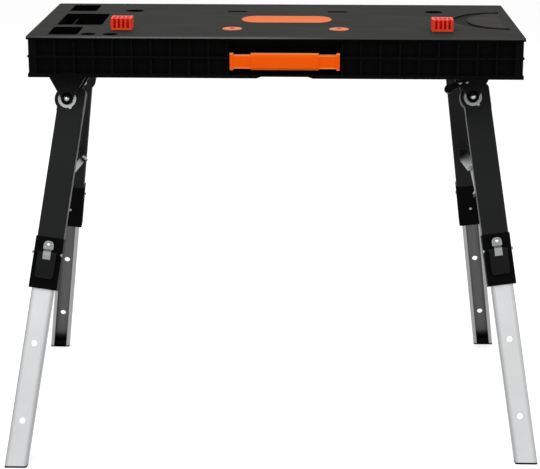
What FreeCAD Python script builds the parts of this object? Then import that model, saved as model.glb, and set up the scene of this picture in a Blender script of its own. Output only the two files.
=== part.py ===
import FreeCAD, Part
import math
import os
from FreeCAD import Placement, Rotation, Vector

# Folding workbench: a ribbed moulded deck on four splayed telescopic legs that fold flat under it.
# Millimetres. The origin is on the floor midway between the feet, +Z is up, +X is to the right
# and -Y points at the person who stands in front. The right pair of legs is the left pair turned by
# half a turn about Z, so each front leg lies beside its neighbour when both pairs are folded.
# The deck lies a little to the right over the legs, and its pieces are drawn about its own middle.

OVERRUN = 5.0

# Top panel
DECK_W = 880.0
DECK_D = 430.0
DECK_HEIGHT = 755.0
DECK_SHIFT = 9.5
SKIN_T = 6.0
DECK_CORNER_R = 5.0
DECK_EDGE_R = 2.0
TRAY_DEPTH = 22.0
TRAY_WALL = 3.0
TRAY_CORNER_R = 6.0
TRAY_DIVIDER_H = 14.0
# Left, right, front and rear edge of each tray, as shares of the deck's width and depth
TRAY_SHARES = (
    (-0.460, -0.399, -0.452, -0.233),
    (-0.460, -0.365, -0.177, 0.163),
    (-0.461, -0.401, 0.244, 0.447),
)
DIVIDED_TRAY = 1
TRAY_DIVIDER_SHARE = 0.27
TOOL_HOLE_R = 11.7
TOOL_HOLE_SHARES = ((-0.378, -0.433), (-0.333, -0.437))
RELIEF_DEPTH = 3.0
RELIEF_END_SHARE = 0.480
RELIEF_TIP_SHARES = (0.372, 0.402)
RELIEF_HALF_SHARES = (0.268, 0.218)
GRIP_SLOT_L = 9.0
GRIP_SLOT_W = 8.0
GRIP_SLOT_GAP = 3.0
GRIP_SLOT_COUNT = 3
GRIP_SLOT_SHARE = 0.252
STIFFENER_H = 9.0
STIFFENER_SHARES = (-0.26, 0.0, 0.26)

# Things in the top: the badge and the plugs are laid out about the middle of the carry handle
FEATURE_X = 17.0
SOCKET_X_SHARES = (-0.317, 0.340)
DOG_FRONT_INSET = 96.0
DOG_REAR_INSET = 102.0
DOG_PEG_R = 17.45
DOG_FIT = 0.05
DOG_PEG_L = 27.0
DOG_W = 38.0
DOG_D = 36.0
DOG_H = 21.0
DOG_EDGE_R = 2.0
DOG_SLOT_W = 5.0
DOG_SLOT_COUNT = 4
DOG_FRAME_T = 3.2
DOG_BACK_T = 9.0
SOCKET_DEPTH = 30.0
SOCKET_WALL = 3.0
PLUG_SPAN = 193.0
PLUG_INSET = 97.0
PLUG_R = 17.8
PLUG_HEAD_T = 1.2
PLUG_SHANK_R = 15.5
PLUG_SHANK_L = 9.0
PLUG_EDGE_R = 0.6
BADGE_W = 169.0
BADGE_D = 74.0
BADGE_T = 1.6
BADGE_PROUD = 0.3
BADGE_Y_SHARE = 0.008
SEAT_CLEARANCE = 0.15

# Apron frame
APRON_H = 73.5
FRAME_INSET = 1.5
RIB_SETBACK = 2.0
POCKET_DEPTH = 12.0
APRON_WALL = 3.0
RIB_T = 3.0
RIB_PITCH = 33.0
BOTTOM_LIP_T = 6.0
MID_RIB_T = 3.0
CORNER_POST = 14.5
RECESS_DEPTH = 30.0
RECESS_MARGIN = 3.5
HOUSING_T = 3.0
FINGER_NOTCH_W = 100.0
FINGER_NOTCH_H = 3.0
FINGER_NOTCH_SLOPE = 9.0

# Carry handle
HANDLE_L = 194.0
HANDLE_INSET = 1.0
GRIP_L = 120.0
GRIP_H = 30.0
GRIP_T = 16.0
GRIP_EDGE_R = 6.0
NECK_H = 24.0
NECK_T = 11.0
END_BAR_W = 6.0
END_BAR_T = 14.0
END_BAR_EDGE_R = 2.0
ARM_W = 18.0
ARM_H = 10.0
ARM_CLEARANCE = 0.3
ARM_STOP_T = 4.0
ARM_STOP_LIP = 3.0
HANDLE_TRAVEL = 28.0
HANDLE_DROP = 7.75

# Cross rails, their screws and the bracket bolts
RAIL_RISE = 8.5
RAIL_W = 50.0
RAIL_H = 30.0
RAIL_WALL = 2.5
RAIL_END_GAP = 0.3
RAIL_BOSS_R = 8.0
RAIL_SCREW_R = 2.5
RAIL_SCREW_BITE = 8.0
RAIL_SCREW_HEAD_R = 5.0
RAIL_SCREW_HEAD_H = 3.0
RAIL_SCREW_SHARES = (-0.465, 0.0, 0.465)
FASTENER_FIT = 0.05
BRACKET_BOLT_R = 4.0
BRACKET_BOLT_HEAD_R = 6.5
BRACKET_BOLT_HEAD_H = 5.0
BRACKET_BOLT_TAIL = 1.0
BRACKET_BOLT_SPAN = 28.0
BRACKET_NUT_R = 7.0
BRACKET_NUT_H = 6.0

# Hinges: where the bolts are and how the legs stand and fold
BOLT_INSET = 71.0
BOLT_DROP = 54.5
OUTER_LANE_INSET = 76.5
LANE_SPACING = 41.0
SPLAY_DEG = 19.0
LEAN_DEG = 7.7
FOLD_DEG = 90.0 + LEAN_DEG
BRACKET_T = 3.0
BRACKET_W = 72.0
TONGUE_SHOULDER = 44.0
TONGUE_TIP_R = 11.5
TONGUE_TIP_RISE = 3.0
BOLT_R = 4.0
BOLT_HEAD_R = 6.5
BOLT_HEAD_H = 4.0
BOLT_TAIL = 2.0
NUT_R = 7.5
NUT_H = 6.5
SIDE_PLAY = 0.3
DISC_R = 16.5
DISC_T = 1.6
DISC_TAB_REACH = 2.5
DISC_TAB_W = 5.0
DISC_TAB_DEG = -62.0

# Lock levers
LEVER_PIVOT_X = -24.0
LEVER_PIVOT_Z = 25.0
LEVER_ARM_X = -21.0
LEVER_ARM_Z = -12.0
LEVER_R = 6.0
LEVER_T = 4.0
LEVER_KNOB_R = 8.0
LEVER_KNOB_T = 9.0
LEVER_PIN_R = 3.0
PAWL_R = 4.5
PAWL_T = 1.2
PAWL_GAP = 0.6

# Lower leg: a lipped aluminium channel with adjustment holes; distances run from the hinge bolt
LOWER_W = 40.0
LOWER_D = 19.0
LOWER_WALL = 2.0
LOWER_LIP = 7.0
LOWER_EDGE_R = 3.6
LOWER_TOP = 250.0
PIN_AT = 306.0
HOLE_PITCH = 140.0
HOLE_COUNT = 3
HOLE_R = 5.5
FOOT_T = 3.0
FOOT_PLUG_L = 30.0
FOOT_FIT = 0.1

# Upper leg: a steel tube with a solid knuckle; only the collar's mouth fits the lower leg closely in width
SLIDE_CLEARANCE = 0.4
SIDE_ROOM = 2.6
LEG_WALL = 1.5
LEG_EDGE_R = 4.0
LEG_OFFSET = 7.5
KNUCKLE_R = 23.0
KNUCKLE_CORNER_R = 9.0
KNUCKLE_DEPTH = 45.0
LEG_TUBE_END = 343.0

# Collar and latch at the lower end of the upper leg
COLLAR_TOP = 253.0
COLLAR_END = 347.0
COLLAR_WALL = 1.6
COLLAR_FACE_T = 2.5
COLLAR_FIT = 0.1
PIN_WINDOW_R = 6.5
AXLE_AT = 283.0
AXLE_R = 1.6
AXLE_FIT = 0.05
AXLE_RISE = 3.7
AXLE_BOSS_R = 3.2
FLAP_W = 33.0
FLAP_END_PLAY = 0.4
FLAP_END = 328.0
FLAP_GAP = 0.6
FLAP_T = 5.8
FLAP_LIFT = 2.6
FLAP_LIFT_FROM = 314.0
FLAP_CORNER_R = 6.0
LOCK_PIN_R = 4.5
LOCK_PIN_SEAT = 2.0
LOCK_PIN_GAP = 0.35
SPRING_T = 0.8
SPRING_W = 18.0
SPRING_TAB_W = 14.0
SPRING_CORNER_R = 8.0
SPRING_TOP = 260.0
SPRING_FLAT_END = 275.0
SPRING_TIP = 294.0
SPRING_GAP = 0.3
SPRING_POCKET_DEPTH = 3.2
SPRING_POCKET_MARGIN = 1.0
RIVET_AT = 267.0
RIVET_R = 2.0
RIVET_HEAD_R = 3.6
RIVET_HEAD_H = 1.6
RIVET_BITE = 2.0

# Folding stays between the front and the rear leg of a pair
STAY_AT = 173.0
STAY_SIDE = 11.0
STAY_STANDOFF = 13.0
STAY_SHORT_SHARE = 0.385
STAY_RISE = 8.0
STAY_T = 3.0
STAY_SHORT_R = 10.0
STAY_LONG_R = 5.5
STAY_LAP_GAP = 0.8
STAY_PIN_R = 4.0
STAY_PIN_FIT = 0.05
STAY_PIN_HEAD_R = 6.5
STAY_PIN_HEAD_T = 2.5
STAY_PLAY = 0.3
LUG_T = 3.0
LUG_R = 8.5
LUG_BASE_T = 2.0
LUG_BASE_W = 26.0
LUG_BASE_H = 26.0

# Sizes that follow from the ones above
PANEL_Z = DECK_HEIGHT - SKIN_T
APRON_Z = DECK_HEIGHT - APRON_H
FRAME_W = DECK_W - 2 * FRAME_INSET
FRAME_D = DECK_D - 2 * FRAME_INSET
FRAME_FRONT = -FRAME_D / 2
CAVITY_W = FRAME_W - 2 * (POCKET_DEPTH + APRON_WALL)
CAVITY_D = FRAME_D - 2 * (POCKET_DEPTH + APRON_WALL)
RECESS_W = HANDLE_L + 2 * RECESS_MARGIN
RECESS_LOW = APRON_Z + BOTTOM_LIP_T
DOG_Y = DOG_FRONT_INSET - DECK_D / 2
SOCKET_Y = DECK_D / 2 - DOG_REAR_INSET
SOCKET_R = DOG_PEG_R + DOG_FIT
PLUG_Y = PLUG_INSET - DECK_D / 2
RAIL_Z = APRON_Z + RAIL_RISE
RAIL_TOP = RAIL_Z + RAIL_H
RAIL_L = CAVITY_D - 2 * RAIL_END_GAP
BOLT_X = DECK_W / 2 - BOLT_INSET
BOLT_Z = APRON_Z - BOLT_DROP
OUTER_Y = DECK_D / 2 - OUTER_LANE_INSET
INNER_Y = OUTER_Y - LANE_SPACING
MOUTH_W = LOWER_W + 2 * SLIDE_CLEARANCE
LEG_BORE_W = LOWER_W + 2 * SIDE_ROOM
LEG_BORE_D = LOWER_D + 2 * SLIDE_CLEARANCE
LEG_W = LEG_BORE_W + 2 * LEG_WALL
LEG_D = LEG_BORE_D + 2 * LEG_WALL
LEG_BORE_EDGE_R = LEG_EDGE_R - LEG_WALL
CHEEK_OUTER = LEG_D / 2 + DISC_T + SIDE_PLAY
CHEEK_INNER = LEG_D / 2 + SIDE_PLAY
COLLAR_FACE = LEG_D / 2 + COLLAR_FIT + COLLAR_FACE_T
COLLAR_W = LEG_W + 2 * (COLLAR_FIT + COLLAR_WALL)
STAY_DEPTH = LEG_D / 2 + STAY_STANDOFF
STAY_PIVOT_DEG = math.degrees(
    math.atan(1 / (math.tan(math.radians(FOLD_DEG / 2)) * math.cos(math.radians(SPLAY_DEG)))))

AXIS_X = Vector(1, 0, 0)
AXIS_Y = Vector(0, 1, 0)
AXIS_Z = Vector(0, 0, 1)


# Helpers

def box(x_range, y_range, z_range):
    corner = Vector(x_range[0], y_range[0], z_range[0])
    sizes = [span[1] - span[0] for span in (x_range, y_range, z_range)]
    return Part.makeBox(*sizes, corner)


def about(centre, size):
    return centre - size / 2, centre + size / 2


def cylinder(radius, start, end):
    return Part.makeCylinder(radius, (end - start).Length, start, end - start)


def fillet_along(shape, direction, radius):
    """Round the straight edges of a shape that run along a direction."""
    edges = []
    for edge in shape.Edges:
        straight = isinstance(edge.Curve, Part.Line)
        if straight and edge.Curve.Direction.cross(direction).Length < Part.Precision.angular():
            edges.append(edge)
    return shape.makeFillet(radius, edges)


def rounded_box(x_range, y_range, z_range, radius, direction=AXIS_Z):
    return fillet_along(box(x_range, y_range, z_range), direction, radius)


def prism(points, direction):
    """A solid from a closed polygon, pushed along a direction."""
    wire = Part.makePolygon(list(points) + [points[0]])
    return Part.Face(wire).extrude(direction)


def bar(radius, start, end, thickness):
    """A round-ended bar between two points on a plane, from that plane along the thickness vector."""
    along = (end - start).normalize() * radius
    side = thickness.cross(along).normalize() * radius
    edges = [
        Part.LineSegment(start - side, end - side),
        Part.Arc(end - side, end + along, end + side),
        Part.LineSegment(end + side, start + side),
        Part.Arc(start + side, start - along, start - side),
    ]
    return Part.Face(Part.Wire([edge.toShape() for edge in edges])).extrude(thickness)


def ellipse_prism(centre, half_x, half_y, height):
    """An upright elliptical disc; the longer half may lie along X or Y."""
    turn = Rotation(AXIS_Z, 0 if half_x >= half_y else 90)
    curve = Part.Ellipse(Vector(), max(half_x, half_y), min(half_x, half_y))
    face = Part.Face(Part.Wire([curve.toShape()]))
    face.Placement = Placement(centre, turn)
    return face.extrude(AXIS_Z * height)


def hexagon(radius, start, end):
    """A hexagonal prism whose corners lie on a radius."""
    axis = (end - start).normalize()
    side = axis.cross(AXIS_X if abs(axis.x) < abs(axis.y) + abs(axis.z) else AXIS_Y).normalize()
    corners = [start + Rotation(axis, 60 * turn).multVec(side * radius) for turn in range(6)]
    return prism(corners, end - start)


def placed(shape, placement):
    copy = shape.copy()
    copy.Placement = placement.multiply(copy.Placement)
    return copy


def turned(shape):
    """The same piece on the other side of the bench, half a turn round."""
    return placed(shape, Placement(Vector(), Rotation(AXIS_Z, 180)))


def cells(start, end):
    """Middles and clear widths of the pockets between evenly spaced ribs."""
    count = max(1, round((end - start) / RIB_PITCH))
    pitch = (end - start) / count
    return [(start + (index + 1 / 2) * pitch, pitch - RIB_T) for index in range(count)]


def feature_pair(span):
    return FEATURE_X - span / 2, FEATURE_X + span / 2


def socket_places():
    return [share * DECK_W for share in SOCKET_X_SHARES]


# Deck

def tray_ranges():
    for left, right, front, rear in TRAY_SHARES:
        yield (left * DECK_W, right * DECK_W), (front * DECK_D, rear * DECK_D)


def rail_screw_places():
    return [(side * BOLT_X, share * RAIL_L) for side in (-1, 1) for share in RAIL_SCREW_SHARES]


def relief():
    """A crescent that is deepest round its tip and runs out towards the right edge."""
    end = RELIEF_END_SHARE * DECK_W
    floor = DECK_HEIGHT - RELIEF_DEPTH
    bodies = []
    height = RELIEF_DEPTH + OVERRUN
    for tip, half in zip(RELIEF_TIP_SHARES, RELIEF_HALF_SHARES):
        bodies.append(ellipse_prism(Vector(end, 0, floor), end - tip * DECK_W, half * DECK_D, height))
    crescent = bodies[0].cut(bodies[1])
    half_depth = RELIEF_HALF_SHARES[0] * DECK_D
    left_part = box((RELIEF_TIP_SHARES[0] * DECK_W - OVERRUN, end), (-half_depth, half_depth),
                    (floor, DECK_HEIGHT + OVERRUN))
    return crescent.common(left_part)


def grip_slots():
    pitch = GRIP_SLOT_L + GRIP_SLOT_GAP
    middle = (GRIP_SLOT_COUNT - 1) / 2
    through = (PANEL_Z - OVERRUN, DECK_HEIGHT + OVERRUN)
    slots = []
    for x in feature_pair(PLUG_SPAN):
        for index in range(GRIP_SLOT_COUNT):
            x_range = about(x + (index - middle) * pitch, GRIP_SLOT_L)
            slots.append(box(x_range, about(GRIP_SLOT_SHARE * DECK_D, GRIP_SLOT_W), through))
    return slots


def top_panel():
    plate = rounded_box(about(0, DECK_W), about(0, DECK_D), (PANEL_Z, DECK_HEIGHT), DECK_CORNER_R)
    rim = [edge for edge in plate.Edges if all(vertex.Z == DECK_HEIGHT for vertex in edge.Vertexes)]
    plate = plate.makeFillet(DECK_EDGE_R, rim)
    added = []
    cut = []
    floor = DECK_HEIGHT - TRAY_DEPTH
    for index, (x_range, y_range) in enumerate(tray_ranges()):
        walls = [(span[0] - TRAY_WALL, span[1] + TRAY_WALL) for span in (x_range, y_range)]
        added.append(box(*walls, (floor - TRAY_WALL, PANEL_Z)))
        hollow = rounded_box(x_range, y_range, (floor, DECK_HEIGHT + OVERRUN), TRAY_CORNER_R)
        if index == DIVIDED_TRAY:
            divider_x = x_range[0] + TRAY_DIVIDER_SHARE * (x_range[1] - x_range[0])
            hollow = hollow.cut(box(about(divider_x, TRAY_WALL), y_range, (floor, floor + TRAY_DIVIDER_H)))
        cut.append(hollow)
    below = DECK_HEIGHT - SOCKET_DEPTH
    for x in socket_places():
        for y in (DOG_Y, SOCKET_Y):
            base = Vector(x, y, below)
            added.append(cylinder(SOCKET_R + SOCKET_WALL, base, Vector(x, y, PANEL_Z)))
            cut.append(cylinder(SOCKET_R, base - AXIS_Z * OVERRUN, Vector(x, y, DECK_HEIGHT + OVERRUN)))
    for rail_x, y in rail_screw_places():
        x = rail_x - DECK_SHIFT
        added.append(cylinder(RAIL_BOSS_R, Vector(x, y, RAIL_TOP), Vector(x, y, PANEL_Z)))
        tip = Vector(x, y, RAIL_TOP + RAIL_SCREW_BITE)
        cut.append(cylinder(RAIL_SCREW_R + FASTENER_FIT, Vector(x, y, RAIL_TOP - OVERRUN), tip))
    for share in STIFFENER_SHARES:
        x_range = about(share * DECK_W, RIB_T)
        added.append(box(x_range, about(0, CAVITY_D / 2), (PANEL_Z - STIFFENER_H, PANEL_Z)))
    for x_share, y_share in TOOL_HOLE_SHARES:
        middle = Vector(x_share * DECK_W, y_share * DECK_D, PANEL_Z - OVERRUN)
        cut.append(cylinder(TOOL_HOLE_R, middle, middle + AXIS_Z * (SKIN_T + 2 * OVERRUN)))
    for x in feature_pair(PLUG_SPAN):
        base = Vector(x, PLUG_Y, PANEL_Z - OVERRUN)
        cut.append(cylinder(PLUG_SHANK_R + SEAT_CLEARANCE, base, base + AXIS_Z * (SKIN_T + 2 * OVERRUN)))
    cut.append(badge_disc(SEAT_CLEARANCE, BADGE_T + OVERRUN))
    cut.append(relief())
    cut.extend(grip_slots())
    return plate.fuse(added).cut(cut).removeSplitter()


def apron_frame():
    full = (APRON_Z, PANEL_Z)
    corner_r = DECK_CORNER_R - FRAME_INSET
    frame = rounded_box(about(0, FRAME_W), about(0, FRAME_D), full, corner_r)
    recess_x = about(FEATURE_X, RECESS_W)
    recess_back = FRAME_FRONT + RECESS_DEPTH
    housing_x = (recess_x[0] - HOUSING_T, recess_x[1] + HOUSING_T)
    through = (APRON_Z - OVERRUN, PANEL_Z + OVERRUN)
    housing = box(housing_x, (FRAME_FRONT, recess_back + HOUSING_T), through)
    cuts = [box(about(0, CAVITY_W), about(0, CAVITY_D), through).cut(housing)]
    middle = (RECESS_LOW + PANEL_Z) / 2
    rows = ((RECESS_LOW, middle - MID_RIB_T / 2), (middle + MID_RIB_T / 2, PANEL_Z))
    side_limit = FRAME_D / 2 - CORNER_POST
    end_limit = FRAME_W / 2 - CORNER_POST
    front_cells = cells(-end_limit, recess_x[0]) + cells(recess_x[1], end_limit)
    for row in rows:
        inner = rounded_box(about(0, FRAME_W - 2 * RIB_SETBACK), about(0, FRAME_D - 2 * RIB_SETBACK), row,
                            corner_r - RIB_SETBACK)
        cuts.append(box(about(0, FRAME_W + OVERRUN), about(0, FRAME_D + OVERRUN), row).cut(inner))
        for x, width in front_cells:
            cuts.append(box(about(x, width), (FRAME_FRONT - OVERRUN, FRAME_FRONT + POCKET_DEPTH), row))
        for x, width in cells(-end_limit, end_limit):
            cuts.append(box(about(x, width), (-FRAME_FRONT - POCKET_DEPTH, -FRAME_FRONT + OVERRUN), row))
        for y, width in cells(-side_limit, side_limit):
            cuts.append(box((-FRAME_W / 2 - OVERRUN, -FRAME_W / 2 + POCKET_DEPTH), about(y, width), row))
            cuts.append(box((FRAME_W / 2 - POCKET_DEPTH, FRAME_W / 2 + OVERRUN), about(y, width), row))
    cuts.append(box(recess_x, (FRAME_FRONT - OVERRUN, recess_back), (RECESS_LOW, PANEL_Z + OVERRUN)))
    wall = (recess_back - OVERRUN, recess_back + HOUSING_T + OVERRUN)
    arm_z = about(handle_z(), ARM_H + 2 * ARM_CLEARANCE)
    for x in handle_arm_places():
        cuts.append(box(about(x, ARM_W + 2 * ARM_CLEARANCE), wall, arm_z))
    wide = FINGER_NOTCH_W / 2
    narrow = wide - FINGER_NOTCH_SLOPE
    corners = ((-wide, 0), (wide, 0), (narrow, FINGER_NOTCH_H), (-narrow, FINGER_NOTCH_H))
    notch = [Vector(FEATURE_X + x, FRAME_FRONT - OVERRUN, APRON_Z + z) for x, z in corners]
    cuts.append(prism(notch, AXIS_Y * (recess_back - FRAME_FRONT)))
    return frame.cut(cuts).removeSplitter()


def badge_disc(margin, height):
    seat = Vector(FEATURE_X, BADGE_Y_SHARE * DECK_D, DECK_HEIGHT + BADGE_PROUD - BADGE_T)
    return ellipse_prism(seat, BADGE_W / 2 + margin, BADGE_D / 2 + margin, height)


def badge_plate():
    return badge_disc(0, BADGE_T)


def hole_plugs():
    plugs = []
    for x in feature_pair(PLUG_SPAN):
        top = Vector(x, PLUG_Y, DECK_HEIGHT)
        head = cylinder(PLUG_R, top, top + AXIS_Z * PLUG_HEAD_T)
        rim = [edge for edge in head.Edges if edge.BoundBox.ZMin > DECK_HEIGHT]
        head = head.makeFillet(PLUG_EDGE_R, rim)
        plugs.append(head.fuse(cylinder(PLUG_SHANK_R, top - AXIS_Z * PLUG_SHANK_L, top)))
    return Part.makeCompound(plugs)


def bench_dog(x):
    """A stop block on a round peg, with slots that run over its top and down its front."""
    block = rounded_box(about(x, DOG_W), about(DOG_Y, DOG_D), (DECK_HEIGHT, DECK_HEIGHT + DOG_H), DOG_EDGE_R)
    rim = [edge for edge in block.Edges if edge.BoundBox.ZMin > DECK_HEIGHT]
    block = block.makeFillet(DOG_EDGE_R / 2, rim)
    pitch = (DOG_W - 2 * DOG_FRAME_T) / DOG_SLOT_COUNT
    middle = (DOG_SLOT_COUNT - 1) / 2
    y_range = (DOG_Y - DOG_D / 2 - OVERRUN, DOG_Y + DOG_D / 2 - DOG_BACK_T)
    z_range = (DECK_HEIGHT + DOG_FRAME_T, DECK_HEIGHT + DOG_H + OVERRUN)
    slots = []
    for index in range(DOG_SLOT_COUNT):
        slots.append(box(about(x + (index - middle) * pitch, DOG_SLOT_W), y_range, z_range))
    foot = Vector(x, DOG_Y, DECK_HEIGHT)
    peg = cylinder(DOG_PEG_R, foot - AXIS_Z * DOG_PEG_L, foot)
    return block.cut(slots).fuse(peg).removeSplitter()


# Carry handle

def handle_z():
    return (RECESS_LOW + PANEL_Z) / 2 - HANDLE_DROP


def handle_arm_places():
    reach = (GRIP_L + HANDLE_L) / 4 - END_BAR_W / 2
    return FEATURE_X - reach, FEATURE_X + reach


def carry_handle():
    front = FRAME_FRONT + HANDLE_INSET
    z = handle_z()
    middle = front + GRIP_T / 2
    grip_y = about(middle, GRIP_T)
    grip = rounded_box(about(FEATURE_X, GRIP_L), grip_y, about(z, GRIP_H), GRIP_EDGE_R, AXIS_X)
    pieces = [box(about(FEATURE_X, HANDLE_L - END_BAR_W), about(middle, NECK_T), about(z, NECK_H))]
    for side in (-1, 1):
        x = FEATURE_X + side * (HANDLE_L - END_BAR_W) / 2
        pieces.append(rounded_box(about(x, END_BAR_W), about(middle, END_BAR_T), about(z, GRIP_H),
                                  END_BAR_EDGE_R, AXIS_X))
    wall_back = FRAME_FRONT + RECESS_DEPTH + HOUSING_T
    stop_face = wall_back + HANDLE_TRAVEL + ARM_CLEARANCE
    for x in handle_arm_places():
        pieces.append(box(about(x, ARM_W), (middle, stop_face), about(z, ARM_H)))
        pieces.append(box(about(x, ARM_W + 2 * ARM_STOP_LIP), (stop_face, stop_face + ARM_STOP_T),
                          about(z, ARM_H + 2 * ARM_STOP_LIP)))
    return grip.fuse(pieces).removeSplitter()


# Cross rails and fasteners

def bracket_bolt_places():
    """Bolt places of the two brackets of the left rail."""
    rise = RAIL_Z - BRACKET_T - BOLT_Z
    shift = rise * math.tan(math.radians(SPLAY_DEG))
    middle = (CHEEK_INNER - CHEEK_OUTER) / 2 / math.cos(math.radians(SPLAY_DEG))
    ys = (-OUTER_Y + shift + middle, INNER_Y - shift - middle)
    return [(-BOLT_X + side * BRACKET_BOLT_SPAN / 2, y) for y in ys for side in (-1, 1)]


def left_cross_rail():
    outer = box(about(-BOLT_X, RAIL_W), about(0, RAIL_L), (RAIL_Z, RAIL_TOP))
    bore = box(about(-BOLT_X, RAIL_W - 2 * RAIL_WALL), about(0, RAIL_L + OVERRUN),
               (RAIL_Z + RAIL_WALL, RAIL_TOP - RAIL_WALL))
    cuts = [bore]
    for x, y in bracket_bolt_places():
        cuts.append(cylinder(BRACKET_BOLT_R + FASTENER_FIT, Vector(x, y, RAIL_Z - OVERRUN),
                             Vector(x, y, RAIL_TOP + OVERRUN)))
    for share in RAIL_SCREW_SHARES:
        start = Vector(-BOLT_X, share * RAIL_L, RAIL_Z - OVERRUN)
        cuts.append(cylinder(RAIL_SCREW_R + FASTENER_FIT, start, start + AXIS_Z * (RAIL_H + 2 * OVERRUN)))
    return outer.cut(cuts)


def rail_screws():
    screws = []
    for x, y in rail_screw_places():
        seat = Vector(x, y, RAIL_Z)
        head = cylinder(RAIL_SCREW_HEAD_R, seat - AXIS_Z * RAIL_SCREW_HEAD_H, seat)
        shank = cylinder(RAIL_SCREW_R, seat, Vector(x, y, RAIL_TOP + RAIL_SCREW_BITE))
        screws.append(head.fuse(shank))
    return screws


def bracket_bolts():
    bolts = []
    for x, y in bracket_bolt_places():
        seat = Vector(x, y, RAIL_Z - BRACKET_T)
        head = hexagon(BRACKET_BOLT_HEAD_R, seat - AXIS_Z * BRACKET_BOLT_HEAD_H, seat)
        tip = Vector(x, y, RAIL_TOP + BRACKET_NUT_H + BRACKET_BOLT_TAIL)
        bolts.append(head.fuse(cylinder(BRACKET_BOLT_R, seat, tip)))
    return bolts


def bracket_nuts():
    nuts = []
    for x, y in bracket_bolt_places():
        seat = Vector(x, y, RAIL_TOP)
        body = hexagon(BRACKET_NUT_R, seat, seat + AXIS_Z * BRACKET_NUT_H)
        bore = cylinder(BRACKET_BOLT_R + FASTENER_FIT, seat - AXIS_Z * OVERRUN,
                        seat + AXIS_Z * (BRACKET_NUT_H + OVERRUN))
        nuts.append(body.cut(bore))
    return nuts


# Hinges, in a frame with its origin at the bolt, x along the bench, y inwards and z up the splayed plane

def hinge_frame(rear):
    tilt = Rotation(AXIS_X, -SPLAY_DEG)
    if rear:
        return Placement(Vector(-BOLT_X, INNER_Y, BOLT_Z), Rotation(AXIS_Z, 180).multiply(tilt))
    return Placement(Vector(-BOLT_X, -OUTER_Y, BOLT_Z), tilt)


def leg_frame(rear):
    lean = -LEAN_DEG if rear else LEAN_DEG
    return hinge_frame(rear).multiply(Placement(Vector(), Rotation(AXIS_Y, lean)))


def tongue(y_range):
    """One bracket cheek: a plate that tapers down to a round tip under the bolt."""
    half = BRACKET_W / 2
    centre = Vector(0, y_range[0], TONGUE_TIP_RISE)
    shoulder = Vector(half, y_range[0], TONGUE_SHOULDER)
    reach = shoulder - centre
    swing = math.asin(TONGUE_TIP_R / reach.Length)
    bearing = math.atan2(reach.z, reach.x) - swing
    touch = Vector(math.sin(bearing), 0, -math.cos(bearing)) * TONGUE_TIP_R
    mirror = Vector(-touch.x, 0, touch.z)
    top = BOLT_DROP + RAIL_RISE + TONGUE_SHOULDER
    corners = [centre + touch, shoulder, Vector(half, y_range[0], top), Vector(-half, y_range[0], top),
               Vector(-half, y_range[0], TONGUE_SHOULDER), centre + mirror]
    edges = [Part.LineSegment(a, b) for a, b in zip(corners, corners[1:])]
    edges.append(Part.Arc(corners[-1], centre - AXIS_Z * TONGUE_TIP_R, corners[0]))
    face = Part.Face(Part.Wire([edge.toShape() for edge in edges]))
    return face.extrude(AXIS_Y * (y_range[1] - y_range[0]))


def hinge_bracket(rear):
    frame = hinge_frame(rear)
    outer = tongue((-CHEEK_OUTER - BRACKET_T, -CHEEK_OUTER))
    inner = tongue((CHEEK_INNER, CHEEK_INNER + BRACKET_T))
    bolt_hole = cylinder(BOLT_R + FASTENER_FIT, Vector(0, -BRACKET_W, 0), Vector(0, BRACKET_W, 0))
    lever_hole = cylinder(LEVER_PIN_R + FASTENER_FIT, Vector(LEVER_PIVOT_X, -BRACKET_W, LEVER_PIVOT_Z),
                          Vector(LEVER_PIVOT_X, 0, LEVER_PIVOT_Z))
    cheeks = outer.fuse(inner).cut(bolt_hole)
    if rear:
        cheeks = cheeks.cut(lever_hole)
    cheeks = placed(cheeks, frame)
    reach = 2 * BRACKET_W
    above = box(about(-BOLT_X, reach), about(frame.Base.y, 2 * reach), (RAIL_Z - BRACKET_T, RAIL_Z + reach))
    cheeks = cheeks.cut(above)
    bounds = [vertex.Y for vertex in cheeks.Vertexes if vertex.Z > RAIL_Z - BRACKET_T - BRACKET_T]
    plate = box(about(-BOLT_X, BRACKET_W), (min(bounds), max(bounds)), (RAIL_Z - BRACKET_T, RAIL_Z))
    holes = []
    for x, y in bracket_bolt_places():
        if (y > 0) == rear:
            start = Vector(x, y, RAIL_Z - reach)
            holes.append(cylinder(BRACKET_BOLT_R + FASTENER_FIT, start, start + AXIS_Z * 2 * reach))
    return cheeks.fuse(plate.cut(holes)).removeSplitter()


def pivot_bolt():
    seat = Vector(0, -CHEEK_OUTER - BRACKET_T, 0)
    tip = Vector(0, CHEEK_INNER + BRACKET_T + NUT_H + BOLT_TAIL, 0)
    shank = cylinder(BOLT_R, seat, tip)
    ball = (BOLT_HEAD_R ** 2 + BOLT_HEAD_H ** 2) / (2 * BOLT_HEAD_H)
    dome = Part.makeSphere(ball, seat + AXIS_Y * (ball - BOLT_HEAD_H))
    head = dome.common(cylinder(BOLT_HEAD_R, seat - AXIS_Y * BOLT_HEAD_H, seat))
    return shank.fuse(head)


def pivot_nut():
    seat = Vector(0, CHEEK_INNER + BRACKET_T, 0)
    end = seat + AXIS_Y * NUT_H
    bore = cylinder(BOLT_R + FASTENER_FIT, seat - AXIS_Y * OVERRUN, end + AXIS_Y * OVERRUN)
    return hexagon(NUT_R, seat, end).cut(bore)


def lock_disc():
    """A zinc disc on the outside of the knuckle, with a tab that keys it."""
    back = Vector(0, -LEG_D / 2, 0)
    front = back - AXIS_Y * DISC_T
    disc = cylinder(DISC_R, front, back)
    tab = box((0, DISC_R + DISC_TAB_REACH), (front.y, back.y), about(0, DISC_TAB_W))
    tab.Placement = Placement(Vector(), Rotation(AXIS_Y, -DISC_TAB_DEG))
    bore = cylinder(BOLT_R + FASTENER_FIT, front - AXIS_Y * OVERRUN, back + AXIS_Y * OVERRUN)
    return disc.fuse(tab).cut(bore).removeSplitter()


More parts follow.
